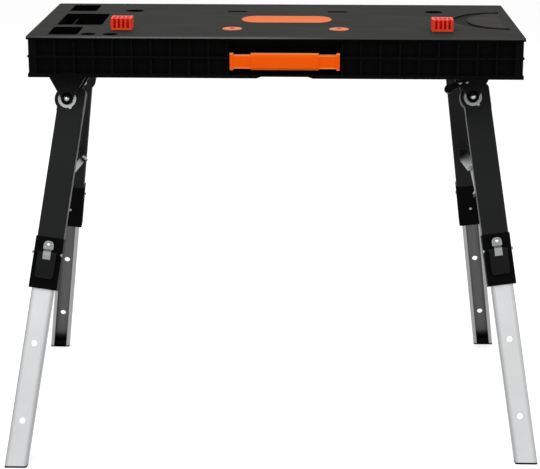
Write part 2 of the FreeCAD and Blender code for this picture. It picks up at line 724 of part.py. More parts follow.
def lock_lever():
    """A thumb lever outside the cheek, its pin through the cheek and a thin pawl beside the disc's rim."""
    outside = -CHEEK_OUTER - BRACKET_T - SIDE_PLAY
    pivot = Vector(LEVER_PIVOT_X, outside, LEVER_PIVOT_Z)
    knob = pivot + Vector(LEVER_ARM_X, 0, LEVER_ARM_Z)
    arm = bar(LEVER_R, pivot, knob, AXIS_Y * -LEVER_T)
    head = cylinder(LEVER_KNOB_R, knob, knob - AXIS_Y * LEVER_KNOB_T)
    pawl_back = -LEG_D / 2 - (DISC_T + SIDE_PLAY - PAWL_T) / 2
    pawl_front = pawl_back - PAWL_T
    root = Vector(LEVER_PIVOT_X, pawl_front, LEVER_PIVOT_Z)
    to_bolt = Vector(-LEVER_PIVOT_X, 0, -LEVER_PIVOT_Z)
    reach = to_bolt.Length - DISC_R - DISC_TAB_REACH - PAWL_GAP - PAWL_R
    nose = root + to_bolt.normalize() * reach
    pawl = bar(PAWL_R, root, nose, AXIS_Y * PAWL_T)
    pin = cylinder(LEVER_PIN_R, pivot, Vector(LEVER_PIVOT_X, pawl_back, LEVER_PIVOT_Z))
    return arm.fuse([head, pin, pawl]).removeSplitter()


# Legs, in a frame with its origin at the bolt, x across the leg, y inwards and z up the leg

def leg_section(width, depth, low, high, radius):
    return rounded_box(about(LEG_OFFSET, width), about(0, depth), (low, high), radius)


def stay_pivot(rear):
    side = -STAY_SIDE if rear else STAY_SIDE
    return leg_frame(rear).multVec(Vector(side, STAY_DEPTH, -STAY_AT))


def stay_axis():
    tilt = math.radians(STAY_PIVOT_DEG)
    return Vector(math.cos(tilt), 0, math.sin(tilt))


def stay_lug(rear):
    """A welded foot on the inner face of the leg with an ear that stands square to the stay's pivots."""
    face = LEG_D / 2
    foot_x = about(LEG_OFFSET, LUG_BASE_W)
    if rear:
        foot_x = (LEG_OFFSET - LEG_W / 2 + LEG_EDGE_R, LEG_OFFSET)
    foot = box(foot_x, (face, face + LUG_BASE_T), about(-STAY_AT, LUG_BASE_H))
    axis = stay_axis()
    pivot = stay_pivot(rear)
    if rear:
        near = axis * (STAY_PLAY - STAY_LAP_GAP / 2)
    else:
        near = axis * (STAY_LAP_GAP / 2 - STAY_PLAY - LUG_T)
    inwards = AXIS_Y if rear else -AXIS_Y
    ear = bar(LUG_R, pivot + near, pivot + near + inwards * (STAY_STANDOFF + LUG_R), axis * LUG_T)
    hole = cylinder(STAY_PIN_R + STAY_PIN_FIT, pivot - axis * OVERRUN, pivot + axis * OVERRUN)
    ear = placed(ear.cut(hole), leg_frame(rear).inverse())
    reach = LUG_BASE_H + LUG_BASE_W
    outside = box(about(0, 2 * reach), (-reach, face), about(-STAY_AT, 2 * reach))
    clear_foot = foot.cut(placed(hole, leg_frame(rear).inverse()))
    return clear_foot.fuse(ear.cut(outside))


def upper_leg(rear):
    tube = leg_section(LEG_W, LEG_D, -LEG_TUBE_END, 0, LEG_EDGE_R)
    head = box(about(LEG_OFFSET, LEG_W), about(0, LEG_D), (-KNUCKLE_R, KNUCKLE_R))
    top = [edge for edge in head.Edges if edge.BoundBox.ZMin > 0 and edge.BoundBox.XMin > LEG_OFFSET
           and edge.BoundBox.YLength > 0]
    head = head.makeFillet(KNUCKLE_CORNER_R, top)
    inner_side = box((-KNUCKLE_R - LEG_W, 0), about(0, LEG_D + OVERRUN), (0, KNUCKLE_R + OVERRUN))
    knuckle = cylinder(KNUCKLE_R, Vector(0, -LEG_D / 2, 0), Vector(0, LEG_D / 2, 0))
    solid = tube.fuse([head.cut(inner_side), knuckle])
    bore = leg_section(LEG_BORE_W, LEG_BORE_D, -LEG_TUBE_END - OVERRUN, -KNUCKLE_DEPTH, LEG_BORE_EDGE_R)
    bolt = cylinder(BOLT_R + FASTENER_FIT, Vector(0, -LEG_D, 0), Vector(0, LEG_D, 0))
    window = cylinder(PIN_WINDOW_R, Vector(LEG_OFFSET, -LEG_D, -PIN_AT), Vector(LEG_OFFSET, 0, -PIN_AT))
    return solid.cut([bore, bolt, window]).fuse(stay_lug(rear)).removeSplitter()


def leg_collar():
    outer_y = (-COLLAR_FACE, LEG_D / 2 + COLLAR_FIT + COLLAR_WALL)
    body = rounded_box(about(LEG_OFFSET, COLLAR_W), outer_y, (-COLLAR_END, -COLLAR_TOP), LEG_EDGE_R)
    axle_y = -COLLAR_FACE - AXLE_RISE
    bosses = []
    for side in (-1, 1):
        near = LEG_OFFSET + side * (FLAP_W / 2 + FLAP_END_PLAY)
        far = LEG_OFFSET + side * (COLLAR_W / 2 - COLLAR_WALL)
        bosses.append(cylinder(AXLE_BOSS_R, Vector(near, axle_y, -AXLE_AT), Vector(far, axle_y, -AXLE_AT)))
        bosses.append(box((min(near, far), max(near, far)), (axle_y, -COLLAR_FACE + COLLAR_FACE_T / 2),
                          about(-AXLE_AT, 2 * AXLE_BOSS_R)))
    sleeve = leg_section(LEG_W + 2 * COLLAR_FIT, LEG_D + 2 * COLLAR_FIT,
                         -LEG_TUBE_END, -COLLAR_TOP + OVERRUN, LEG_EDGE_R)
    mouth = leg_section(MOUTH_W, LEG_BORE_D, -COLLAR_END - OVERRUN, -LEG_TUBE_END, LEG_BORE_EDGE_R)
    window = cylinder(PIN_WINDOW_R, Vector(LEG_OFFSET, -LEG_D, -PIN_AT), Vector(LEG_OFFSET, 0, -PIN_AT))
    axle = cylinder(AXLE_R + AXLE_FIT, Vector(LEG_OFFSET - LEG_W, axle_y, -AXLE_AT),
                    Vector(LEG_OFFSET + LEG_W, axle_y, -AXLE_AT))
    rivet = cylinder(RIVET_R + AXLE_FIT, Vector(LEG_OFFSET, -LEG_D, -RIVET_AT),
                     Vector(LEG_OFFSET, -COLLAR_FACE + RIVET_BITE, -RIVET_AT))
    return body.fuse(bosses).cut([sleeve, mouth, window, axle, rivet]).removeSplitter()


def latch_axle():
    y = -COLLAR_FACE - AXLE_RISE
    reach = COLLAR_W / 2
    return cylinder(AXLE_R, Vector(LEG_OFFSET - reach, y, -AXLE_AT), Vector(LEG_OFFSET + reach, y, -AXLE_AT))


def profile(points, width):
    """A bar across the leg from outward distances above the collar's face and distances down the leg."""
    corners = [Vector(LEG_OFFSET - width / 2, -COLLAR_FACE - rise, -along) for rise, along in points]
    return prism(corners, AXIS_X * width)


def flap_top():
    return FLAP_GAP + FLAP_T


def latch_flap():
    lower = [
        (FLAP_GAP, AXLE_AT),
        (FLAP_GAP, FLAP_LIFT_FROM),
        (FLAP_GAP + FLAP_LIFT, FLAP_END),
        (flap_top() - FLAP_LIFT / 2, FLAP_END),
        (flap_top(), FLAP_LIFT_FROM),
        (flap_top(), AXLE_AT),
    ]
    pad = profile(lower, FLAP_W)
    corners = [edge for edge in pad.Edges if edge.BoundBox.ZMax < -FLAP_END + FLAP_GAP
               and edge.BoundBox.XLength < FLAP_GAP]
    pad = pad.makeFillet(FLAP_CORNER_R, corners)
    y = -COLLAR_FACE - AXLE_RISE
    ends = [Vector(x, y, -AXLE_AT) for x in about(LEG_OFFSET, FLAP_W)]
    barrel = cylinder(AXLE_BOSS_R, *ends)
    bore = cylinder(AXLE_R + AXLE_FIT, *ends)
    pocket_y = (-COLLAR_FACE - flap_top() - OVERRUN, -COLLAR_FACE - flap_top() + SPRING_POCKET_DEPTH)
    pocket = box(about(LEG_OFFSET, SPRING_TAB_W + 2 * SPRING_POCKET_MARGIN), pocket_y,
                 (-SPRING_TIP - SPRING_POCKET_MARGIN, -AXLE_AT - AXLE_BOSS_R))
    seat = cylinder(LOCK_PIN_R + AXLE_FIT, Vector(LEG_OFFSET, -COLLAR_FACE, -PIN_AT),
                    Vector(LEG_OFFSET, -COLLAR_FACE - FLAP_GAP - LOCK_PIN_SEAT, -PIN_AT))
    return pad.fuse(barrel).cut([bore, pocket, seat]).removeSplitter()


def lock_pin():
    head = Vector(LEG_OFFSET, -COLLAR_FACE - FLAP_GAP - LOCK_PIN_SEAT, -PIN_AT)
    nose = Vector(LEG_OFFSET, -LOWER_D / 2 - LOCK_PIN_GAP, -PIN_AT)
    return cylinder(LOCK_PIN_R, head, nose)


def latch_spring():
    """A bent leaf that is riveted to the collar, runs over the flap's barrel and ends in its pocket."""
    over = AXLE_RISE + AXLE_BOSS_R + SPRING_GAP
    tip_rise = flap_top() - SPRING_T
    before = AXLE_AT - AXLE_BOSS_R
    after = AXLE_AT + AXLE_BOSS_R
    inner = [(0, SPRING_TOP), (0, SPRING_FLAT_END), (over, before), (over, after), (tip_rise, SPRING_TIP)]
    flat = profile(inner[:2] + [(SPRING_T, SPRING_FLAT_END), (SPRING_T, SPRING_TOP)], SPRING_W)
    corners = [edge for edge in flat.Edges if edge.BoundBox.YLength > edge.BoundBox.XLength
               and edge.BoundBox.ZMin > -SPRING_FLAT_END]
    flat = flat.makeFillet(SPRING_CORNER_R, corners)
    outer = [(rise + SPRING_T, along) for rise, along in inner[1:]]
    bent = profile(inner[1:] + outer[::-1], SPRING_TAB_W)
    leaf = flat.fuse(bent)
    middle = Vector(LEG_OFFSET, 0, -RIVET_AT)
    hole = cylinder(RIVET_R + AXLE_FIT, middle - AXIS_Y * LEG_D, middle)
    face = Vector(LEG_OFFSET, -COLLAR_FACE - SPRING_T, -RIVET_AT)
    head = cylinder(RIVET_HEAD_R, face, face - AXIS_Y * RIVET_HEAD_H)
    rim = [edge for edge in head.Edges if edge.BoundBox.YMax < face.y]
    head = head.makeFillet(RIVET_HEAD_H / 2, rim)
    shank = cylinder(RIVET_R, face, Vector(LEG_OFFSET, -COLLAR_FACE + RIVET_BITE, -RIVET_AT))
    return Part.makeCompound([leaf.cut(hole).removeSplitter(), head.fuse(shank)])


def lower_leg_reach():
    """From the bolt to well past the floor, so that the end can be cut level."""
    slope = math.cos(math.radians(SPLAY_DEG)) * math.cos(math.radians(LEAN_DEG))
    return BOLT_Z / slope + LOWER_W


def floor_slab(low, high):
    reach = DECK_W + DECK_HEIGHT
    return box(about(0, reach), about(0, reach), (low, high))


def lower_leg(rear):
    end = -lower_leg_reach()
    body = leg_section(LOWER_W, LOWER_D, end, -LOWER_TOP, LOWER_EDGE_R)
    through = (end - OVERRUN, -LOWER_TOP + OVERRUN)
    hollow = box(about(LEG_OFFSET, LOWER_W - 2 * LOWER_WALL), about(0, LOWER_D - 2 * LOWER_WALL), through)
    opening = box(about(LEG_OFFSET, LOWER_W - 2 * LOWER_LIP), (0, LOWER_D), through)
    holes = []
    for index in range(HOLE_COUNT):
        z = -PIN_AT - index * HOLE_PITCH
        holes.append(cylinder(HOLE_R, Vector(LEG_OFFSET, -LOWER_D, z), Vector(LEG_OFFSET, 0, z)))
    channel = placed(body.cut([hollow, opening] + holes), leg_frame(rear))
    return channel.common(floor_slab(FOOT_T, DECK_HEIGHT))


def leg_foot(rear):
    """A sole below the channel, cut level, with a plug inside the channel."""
    end = -lower_leg_reach()
    outline = placed(leg_section(LOWER_W, LOWER_D, end, -LOWER_TOP, LOWER_EDGE_R), leg_frame(rear))
    sole = outline.common(floor_slab(0, FOOT_T))
    core = box(about(LEG_OFFSET, LOWER_W - 2 * (LOWER_WALL + FOOT_FIT)),
               about(0, LOWER_D - 2 * (LOWER_WALL + FOOT_FIT)), (end, -LOWER_TOP))
    core = placed(core, leg_frame(rear)).common(floor_slab(FOOT_T, FOOT_T + FOOT_PLUG_L))
    return sole.fuse(core).removeSplitter()


# Stays of the left pair, in place

def stay_knee():
    front = stay_pivot(False)
    rear = stay_pivot(True)
    tilt = math.radians(STAY_PIVOT_DEG)
    rise = Vector(-math.sin(tilt), 0, math.cos(tilt)) * STAY_RISE
    return front + (rear - front) * STAY_SHORT_SHARE + rise


def stay_link(rear):
    """A flat link with its leg pin and one half of the knee rivet, on its own side of the lap."""
    radius = STAY_LONG_R if rear else STAY_SHORT_R
    outwards = -stay_axis() if rear else stay_axis()
    lap = outwards * (STAY_LAP_GAP / 2)
    pivot = stay_pivot(rear) + lap
    knee = stay_knee() + lap
    plate = bar(radius, pivot, knee, outwards * STAY_T)
    behind = pivot - outwards * (LUG_T + 2 * STAY_PLAY)
    pin = cylinder(STAY_PIN_R, behind, pivot)
    head = cylinder(STAY_PIN_HEAD_R, behind - outwards * STAY_PIN_HEAD_T, behind)
    rivet_seat = knee + outwards * STAY_T
    rivet = cylinder(STAY_PIN_HEAD_R, rivet_seat, rivet_seat + outwards * STAY_PIN_HEAD_T)
    return plate.fuse([pin, head, rivet]).removeSplitter()


# Export

def export(name, shape):
    shape.exportStep("parts/" + name + ".step")


def export_on_deck(name, shape):
    """A piece drawn about the middle of the deck, moved to where the deck lies over the legs."""
    export(name, placed(shape, Placement(AXIS_X * DECK_SHIFT, Rotation())))


def export_pair(left_name, right_name, shape):
    export(left_name, shape)
    export(right_name, turned(shape))


def export_group(name, left_shapes):
    export(name, Part.makeCompound(left_shapes + [turned(shape) for shape in left_shapes]))


def main():
    os.makedirs("parts", exist_ok=True)
    export_on_deck("top_panel", top_panel())
    export_on_deck("apron_frame", apron_frame())
    export_on_deck("badge_plate", badge_plate())
    export_on_deck("hole_plugs", hole_plugs())
    export_on_deck("carry_handle", carry_handle())
    left_dog_x, right_dog_x = socket_places()
    export_on_deck("bench_dog_left", bench_dog(left_dog_x))
    export_on_deck("bench_dog_right", bench_dog(right_dog_x))
    export_pair("cross_rail_left", "cross_rail_right", left_cross_rail())
    export("rail_screws", Part.makeCompound(rail_screws()))
    export_group("bracket_bolts", bracket_bolts())
    export_group("bracket_nuts", bracket_nuts())
    ends = (False, True)
    export_group("pivot_bolts", [placed(pivot_bolt(), hinge_frame(rear)) for rear in ends])
    export_group("pivot_nuts", [placed(pivot_nut(), hinge_frame(rear)) for rear in ends])
    for rear in ends:
        here = "rear_left" if rear else "front_left"
        there = "front_right" if rear else "rear_right"
        leg = leg_frame(rear)
        export_pair("hinge_bracket_" + here, "hinge_bracket_" + there, hinge_bracket(rear))
        export_pair("upper_leg_" + here, "upper_leg_" + there, placed(upper_leg(rear), leg))
        export_pair("lower_leg_" + here, "lower_leg_" + there, lower_leg(rear))
        export_pair("leg_foot_" + here, "leg_foot_" + there, leg_foot(rear))
        for piece in (lock_disc, leg_collar, latch_axle, latch_flap, lock_pin, latch_spring):
            label = piece.__name__ + "_"
            export_pair(label + here, label + there, placed(piece(), leg))
        stay = "stay_long_link_" if rear else "stay_short_link_"
        export_pair(stay + "left", stay + "right", stay_link(rear))
    export_pair("lock_lever_rear_left", "lock_lever_front_right", placed(lock_lever(), hinge_frame(True)))


main()
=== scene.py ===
from functools import partial
from math import pi, radians

import bpy
from mathutils import Matrix, Vector


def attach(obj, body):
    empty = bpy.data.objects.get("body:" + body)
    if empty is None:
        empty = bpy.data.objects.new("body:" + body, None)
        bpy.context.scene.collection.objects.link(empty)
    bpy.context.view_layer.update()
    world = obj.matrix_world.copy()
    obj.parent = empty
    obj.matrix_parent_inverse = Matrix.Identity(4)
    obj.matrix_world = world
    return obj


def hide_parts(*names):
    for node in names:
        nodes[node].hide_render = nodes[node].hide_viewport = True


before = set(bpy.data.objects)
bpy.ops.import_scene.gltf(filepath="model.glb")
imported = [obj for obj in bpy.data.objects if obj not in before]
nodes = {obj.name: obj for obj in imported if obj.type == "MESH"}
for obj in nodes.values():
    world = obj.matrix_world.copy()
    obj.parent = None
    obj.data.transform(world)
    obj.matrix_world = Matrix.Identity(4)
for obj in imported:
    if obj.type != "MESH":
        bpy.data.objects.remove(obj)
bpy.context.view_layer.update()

# Lengths are in metres: x to the right, y to the back, z up from the floor.
# Places and sizes that belong to a solid follow from the sizes in the part's source.

# The deck and what is set in it

DECK_TOP = 0.755
HANDLE_X = 0.0265
HANDLE_Z = 0.7105
PLUG_HALF_SPAN = 0.0965
PLUG_X = {"left": HANDLE_X - PLUG_HALF_SPAN, "right": HANDLE_X + PLUG_HALF_SPAN}
PLUG_Y = -0.118
PLUG_TOP = DECK_TOP + 0.0012
BADGE_Y = 0.00344
DOG_X = {"left": -0.26946, "right": 0.3087}
DOG_SLOTS = 4
DOG_SLOT_PITCH = 0.0079
GRIP_SLOTS = 3
GRIP_SLOT_Y = 0.10836
TOOL_HOLE_R = 0.0117
TOOL_HOLES = {"outer": (-0.32314, -0.18619), "inner": (-0.28354, -0.18791)}

# The hinge bolts, and the legs as seen from them: y inwards, z up the leg

BOLT_X = 0.369
BOLT_Z = 0.627
OUTER_Y = 0.1385
INNER_Y = 0.0975
SPLAY = radians(19.0)
LEAN = radians(7.7)
LEG_OFFSET = 0.0075
LOWER_W = 0.040
LOWER_DEPTH = 0.019
LOWER_WALL = 0.002
LOWER_EDGE_R = 0.0036
LEG_REACH = 0.669
PIN_AT = 0.306
HOLE_PITCH = 0.140
HOLE_R = 0.0055
AXLE_AT = 0.283
AXLE_Y = -0.0177
COLLAR_BACK = 0.0131
COLLAR_HALF = 0.0258
LEAF_FACE = -0.0148
RIVET_AT = 0.267
CHEEK_FACE = -0.0163
LEVER_FACE = -0.0206
LEVER_PIVOT = (-0.024, 0.025)

# Small pieces that are only in this script. A rivet head is given by its radius, its height
# and its straight rim as a multiple of its rounded part. A ring is given by its inner and
# outer radius, its height and how deep it is sunk.

DOME_SIDES = 28
RING_SIDES = 40
ROUNDING = ((0.45, 0.93), (0.35, 0.75), (0.2, 0.42))
SHOULDER = 0.15
SHOULDER_RISE = 0.8
WELD = 0.00001
SMOOTH_ANGLE = radians(35)

PLUG_CENTRE = (0.0045, 0.0011, 0.25)
AXLE_CAP = (0.0032, 0.0016, 0.6)
AXLE_CAP_SIDES = 20
LEAF_RIVET = (0.0028, 0.0008, 0.3)
LEAF_RIVET_RISE = 0.0016
COLLAR_RIVET = (0.0030, 0.0016, 0.4)
BOLT_CROWN = (0.0024, 0.0006, 0.3)
BOLT_CROWN_RISE = 0.0039
LEVER_RIVET = (0.0036, 0.0018, 0.4)
BRACKET_RIVET = (0.0032, 0.0016, 0.4)
BRACKET_RIVET_AT = (-0.011, 0.027)

TOOL_HOLE_RIM = (TOOL_HOLE_R, TOOL_HOLE_R + 0.0021, 0.00035, 0.0004)
HOLE_RIM = (HOLE_R, HOLE_R + 0.0014, 0.00025, 0.00025)
LEAF_RING = (0.0050, 0.0068, 0.0005, 0.0005)
HINGE_BOSS = (0.0046, 0.0110, 0.0027, 0.0008)

BADGE_BLANK = (0.2600, 0.0840)
BADGE_CORNER = 0.0419
BADGE_SHARE = 0.645
BADGE_T = 0.0007
BADGE_LIP_W = 0.0020
BADGE_LIP_H = 0.0003
BADGE_LIFT = 0.0001

GRIP_CELLS = (0.0360, 0.0142)
GRIP_CELL_GAP = 0.0006
GRIP_FRAME_W = 0.0012
GRIP_FRAME_NARROWER = 0.775
GRIP_FRAME_H = 0.0004

DOG_STRIP = (0.00494, 0.02575, 0.01655)
DOG_STRIP_EDGE = 0.0007
DOG_STRIP_Y = -0.122925
DOG_STRIP_Z = DECK_TOP + 0.011525

FOOT_BLOCK_L = 0.20
FOOT_T = 0.003
FOOT_LAP = 0.0002
FOOT_PLUG_H = 0.0115
FOOT_PLUG_FIT = 0.0001
FOOT_PLUG_EDGE_R = 0.0006

RIB_GRID = (0.642, 0.340)
RIB_CELLS = (8, 4)
RIB_X = 0.0185
RIB_TOP = DECK_TOP - 0.0062
RIB_H = 0.0085
RIB_T = 0.0024

OUTWARDS = Matrix.Rotation(pi / 2, 4, "X")
INWARDS = Matrix.Rotation(-pi / 2, 4, "X")
TO_RIGHT = Matrix.Rotation(pi / 2, 4, "Y")
TO_LEFT = Matrix.Rotation(-pi / 2, 4, "Y")

# Each leg: whether it is the inner one of its pair, and whether its pair is the turned one

LEGS = {
    "front_left": (False, False),
    "rear_left": (True, False),
    "rear_right": (False, True),
    "front_right": (True, True),
}
LEVERS = ("rear_left", "front_right")


def at(*place):
    return Matrix.Translation(place)


def hinge_place(inner, turned):
    """Where a hinge bolt is: x along the bench, y inwards, z up the splayed leg plane."""
    if inner:
        place = at(-BOLT_X, INNER_Y, BOLT_Z) @ Matrix.Rotation(pi, 4, "Z")
    else:
        place = at(-BOLT_X, -OUTER_Y, BOLT_Z)
    place = place @ Matrix.Rotation(-SPLAY, 4, "X")
    return Matrix.Rotation(pi, 4, "Z") @ place if turned else place


def leg_place(inner, turned):
    return hinge_place(inner, turned) @ Matrix.Rotation(-LEAN if inner else LEAN, 4, "Y")


# Steps that the finishes are made of

def feed(tree, value, socket):
    """Links a socket to a value that varies, or sets it to a plain one."""
    if isinstance(value, bpy.types.NodeSocket):
        tree.links.new(value, socket)
    else:
        socket.default_value = value


def reckon(tree, operation, first, second=0.0):
    """One step of arithmetic on sockets or numbers."""
    node = tree.nodes.new("ShaderNodeMath")
    node.operation = operation
    for socket, value in zip(node.inputs, (first, second)):
        feed(tree, value, socket)
    return node.outputs["Value"]


def spread(tree, value, source=(0.0, 1.0), target=(0.0, 1.0)):
    """A value brought from one span to another, and held within it."""
    node = tree.nodes.new("ShaderNodeMapRange")
    tree.links.new(value, node.inputs["Value"])
    for label, end in zip(("From Min", "From Max", "To Min", "To Max"), (*source, *target)):
        feed(tree, end, node.inputs[label])
    return node.outputs["Result"]


def fade(tree, value, start, end):
    """1 up to start, then down to 0 at end."""
    return spread(tree, value, (end, start))


def noise(tree, place, scale, detail, roughness=0.5):
    node = tree.nodes.new("ShaderNodeTexNoise")
    given = {"Vector": place, "Scale": scale, "Detail": detail, "Roughness": roughness}
    for label, value in given.items():
        feed(tree, value, node.inputs[label])
    return node.outputs["Fac"]


def coordinates(tree, place):
    node = tree.nodes.new("ShaderNodeSeparateXYZ")
    tree.links.new(place, node.inputs["Vector"])
    return node.outputs


def tint(tree, mask, low, high):
    """A colour that goes from low to high with a mask."""
    mix = tree.nodes.new("ShaderNodeMix")
    mix.data_type = "RGBA"
    tree.links.new(mask, mix.inputs["Factor"])
    for label, colour in (("A", low), ("B", high)):
        socket = next(s for s in mix.inputs if s.name == label and s.type == "RGBA")
        feed(tree, (*colour, 1.0) if isinstance(colour, tuple) else colour, socket)
    return next(s for s in mix.outputs if s.type == "RGBA")


# Shared effects

NOISE_SPAN = (0.3, 0.7)
EDGE_TURN = (0.995, 0.86)
EDGE_SAMPLES = 4
BREAK_SPAN = (0.38, 0.62)
BREAK_KEEP = (0.25, 1.0)


def effect(name, inputs, outputs):
    """An empty shader node group with its named sockets."""
    tree = bpy.data.node_groups.new(name, "ShaderNodeTree")
    for label, kind, value in inputs:
        socket = tree.interface.new_socket(name=label, in_out="INPUT", socket_type="NodeSocket" + kind)
        if value is not None:
            socket.default_value = value
    for label in outputs:
        tree.interface.new_socket(name=label, in_out="OUTPUT", socket_type="NodeSocketFloat")
    return tree, tree.nodes.new("NodeGroupInput").outputs, tree.nodes.new("NodeGroupOutput").inputs


def moulded_grain():
    """Fine pits of a moulded or powder coated skin, and slow patches of more and less gloss."""
    tree, given, out = effect("moulded_grain", [
        ("Place", "Vector", None), ("Grain Scale", "Float", 900.0), ("Patch Scale", "Float", 14.0),
        ("Smooth", "Float", 0.45), ("Rough", "Float", 0.6),
    ], ["Height", "Roughness", "Patch"])
    fine = noise(tree, given["Place"], given["Grain Scale"], detail=2.0)
    patch = noise(tree, given["Place"], given["Patch Scale"], detail=5.0, roughness=0.6)
    gloss = spread(tree, patch, NOISE_SPAN, (given["Smooth"], given["Rough"]))
    tree.links.new(fine, out["Height"])
    tree.links.new(gloss, out["Roughness"])
    tree.links.new(patch, out["Patch"])
    return tree


def highlit_edges():
    """A mask of the edges where a highlight is painted, broken up by a little noise."""
    tree, given, out = effect("highlit_edges", [
        ("Place", "Vector", None), ("Radius", "Float", 0.0012), ("Breaks", "Float", 160.0),
    ], ["Edge"])
    rounded = tree.nodes.new("ShaderNodeBevel")
    rounded.samples = EDGE_SAMPLES
    face = tree.nodes.new("ShaderNodeNewGeometry")
    same = tree.nodes.new("ShaderNodeVectorMath")
    same.operation = "DOT_PRODUCT"
    tree.links.new(given["Radius"], rounded.inputs["Radius"])
    tree.links.new(rounded.outputs["Normal"], same.inputs[0])
    tree.links.new(face.outputs["Normal"], same.inputs[1])
    turn = spread(tree, same.outputs["Value"], EDGE_TURN)
    breaks = noise(tree, given["Place"], given["Breaks"], detail=3.0)
    keep = spread(tree, breaks, BREAK_SPAN, BREAK_KEEP)
    tree.links.new(reckon(tree, "MULTIPLY", turn, keep), out["Edge"])
    return tree


def drawn_lines():
    """Fine lines along z, as drawing or brushing leaves them on metal."""
    tree, given, out = effect("drawn_lines", [
        ("Place", "Vector", None), ("Across", "Float", 1500.0), ("Along", "Float", 9.0),
        ("Smooth", "Float", 0.3), ("Rough", "Float", 0.45),
    ], ["Height", "Roughness"])
    stretch = tree.nodes.new("ShaderNodeCombineXYZ")
    scaled = tree.nodes.new("ShaderNodeVectorMath")
    scaled.operation = "MULTIPLY"
    for axis, source in zip("XYZ", ("Across", "Across", "Along")):
        tree.links.new(given[source], stretch.inputs[axis])
    tree.links.new(given["Place"], scaled.inputs[0])
    tree.links.new(stretch.outputs["Vector"], scaled.inputs[1])
    lines = noise(tree, scaled.outputs["Vector"], scale=1.0, detail=3.0)
    gloss = spread(tree, lines, NOISE_SPAN, (given["Smooth"], given["Rough"]))
    tree.links.new(lines, out["Height"])
    tree.links.new(gloss, out["Roughness"])
    return tree


def channel_parts():
    """Masks on a lipped channel that stands along z about its own middle.

    They mark its inside, its lips and its long edges.
    """
    tree, given, out = effect("channel_parts", [
        ("Place", "Vector", None), ("Half Width", "Float", 0.019), ("Half Depth", "Float", 0.0085),
        ("Face Half", "Float", 0.0125), ("Edge Half", "Float", 0.0200),
    ], ["Inside", "Lip", "Edge"])
    step = partial(reckon, tree)
    place = coordinates(tree, given["Place"])
    across = step("ABSOLUTE", place["X"])
    narrow = step("LESS_THAN", across, given["Half Width"])
    shallow = step("LESS_THAN", step("ABSOLUTE", place["Y"]), given["Half Depth"])
    tree.links.new(step("MULTIPLY", narrow, shallow), out["Inside"])
    tree.links.new(step("GREATER_THAN", place["Y"], given["Half Depth"]), out["Lip"])
    tree.links.new(spread(tree, across, (given["Face Half"], given["Edge Half"])), out["Edge"])
    return tree


GRAIN = moulded_grain()
EDGE_HIGHLIGHTS = highlit_edges()
LINES = drawn_lines()
CHANNEL = channel_parts()


# Finishes

SKIN_RELIEF = 0.25
SKIN_DEPTH = 0.0002
LINE_RELIEF = 0.3
LINE_DEPTH = 0.00003


def start_finish(name):
    material = bpy.data.materials.new(name)
    material.use_nodes = True
    tree = material.node_tree
    where = tree.nodes.new("ShaderNodeTexCoord").outputs["Object"]
    return material, tree, tree.nodes["Principled BSDF"], where


def place_effect(tree, effect_tree, place, **values):
    node = tree.nodes.new("ShaderNodeGroup")
    node.node_tree = effect_tree
    tree.links.new(place, node.inputs["Place"])
    for label, value in values.items():
        node.inputs[label.replace("_", " ")].default_value = value
    return node.outputs


def lay_on(tree, bsdf, colour, skin, strength, depth):
    """Gives a finish its colour, and the gloss and the relief of its skin."""
    relief = tree.nodes.new("ShaderNodeBump")
    relief.inputs["Strength"].default_value = strength
    relief.inputs["Distance"].default_value = depth
    tree.links.new(colour, bsdf.inputs["Base Color"])
    tree.links.new(skin["Roughness"], bsdf.inputs["Roughness"])
    tree.links.new(skin["Height"], relief.inputs["Height"])
    tree.links.new(relief.outputs["Normal"], bsdf.inputs["Normal"])


def grey(level):
    return (level, level, level)


def plastic(name, dark, light, edge_lit, gloss, grain, specular, edge=0.0012, depth=SKIN_DEPTH):
    """A moulded plastic or powder coat: patchy colour, a painted highlight on its edges and a fine skin.
    """
    material, tree, bsdf, where = start_finish(name)
    skin = place_effect(tree, GRAIN, where, Grain_Scale=grain, Smooth=gloss[0], Rough=gloss[1])
    # A painted highlight along the edges, in the third colour.
    edge_highlight = place_effect(tree, EDGE_HIGHLIGHTS, where, Radius=edge)
    patchy = tint(tree, skin["Patch"], dark, light)
    lay_on(tree, bsdf, tint(tree, edge_highlight["Edge"], patchy, edge_lit), skin, SKIN_RELIEF, depth)
    bsdf.inputs["Specular IOR Level"].default_value = specular
    return material


def metal(name, dark, light, gloss, across, along, metallic=1.0):
    """Bare or plated metal with fine drawn lines and slow stains."""
    material, tree, bsdf, where = start_finish(name)
    lines = place_effect(tree, LINES, where, Across=across, Along=along, Smooth=gloss[0], Rough=gloss[1])
    skin = place_effect(tree, GRAIN, where, Grain_Scale=500.0, Patch_Scale=28.0)
    lay_on(tree, bsdf, tint(tree, skin["Patch"], dark, light), lines, LINE_RELIEF, LINE_DEPTH)
    bsdf.inputs["Metallic"].default_value = metallic
    return material


# The deck's rim along the front carries a painted highlight, brightest left of its middle.
RIM_INNER_Y = -0.2138
RIM_LOW_Z = DECK_TOP - 0.0029
RIM_HIGHLIGHT_X = -0.15
RIM_HIGHLIGHT_REACH = (0.12, 0.28)
RIM_HIGHLIGHT_DARK = (0.048, 0.048, 0.046)
RIM_HIGHLIGHT_LIGHT = (0.076, 0.076, 0.073)
RIM_HIGHLIGHT_PEAK = (0.150, 0.150, 0.145)

# The relief is half an oval groove that opens to the right. Its half sizes run from its right end.
RELIEF_END = 0.4319
RELIEF_END_FADE = 0.010
RELIEF_OUTER = (0.0950, 0.1152)
RELIEF_INNER = (0.0686, 0.0937)
# The groove takes painted shade that fades out towards its open end; its crest and island carry a
# painted highlight.
GROOVE_REACH = 1.04
CREST_FADE = (1.06, 1.16)
ISLAND_FADE = (0.80, 1.0)
GROOVE_PAINTED_SHADE = 0.62
GROOVE_FADE = (0.355, 0.428)

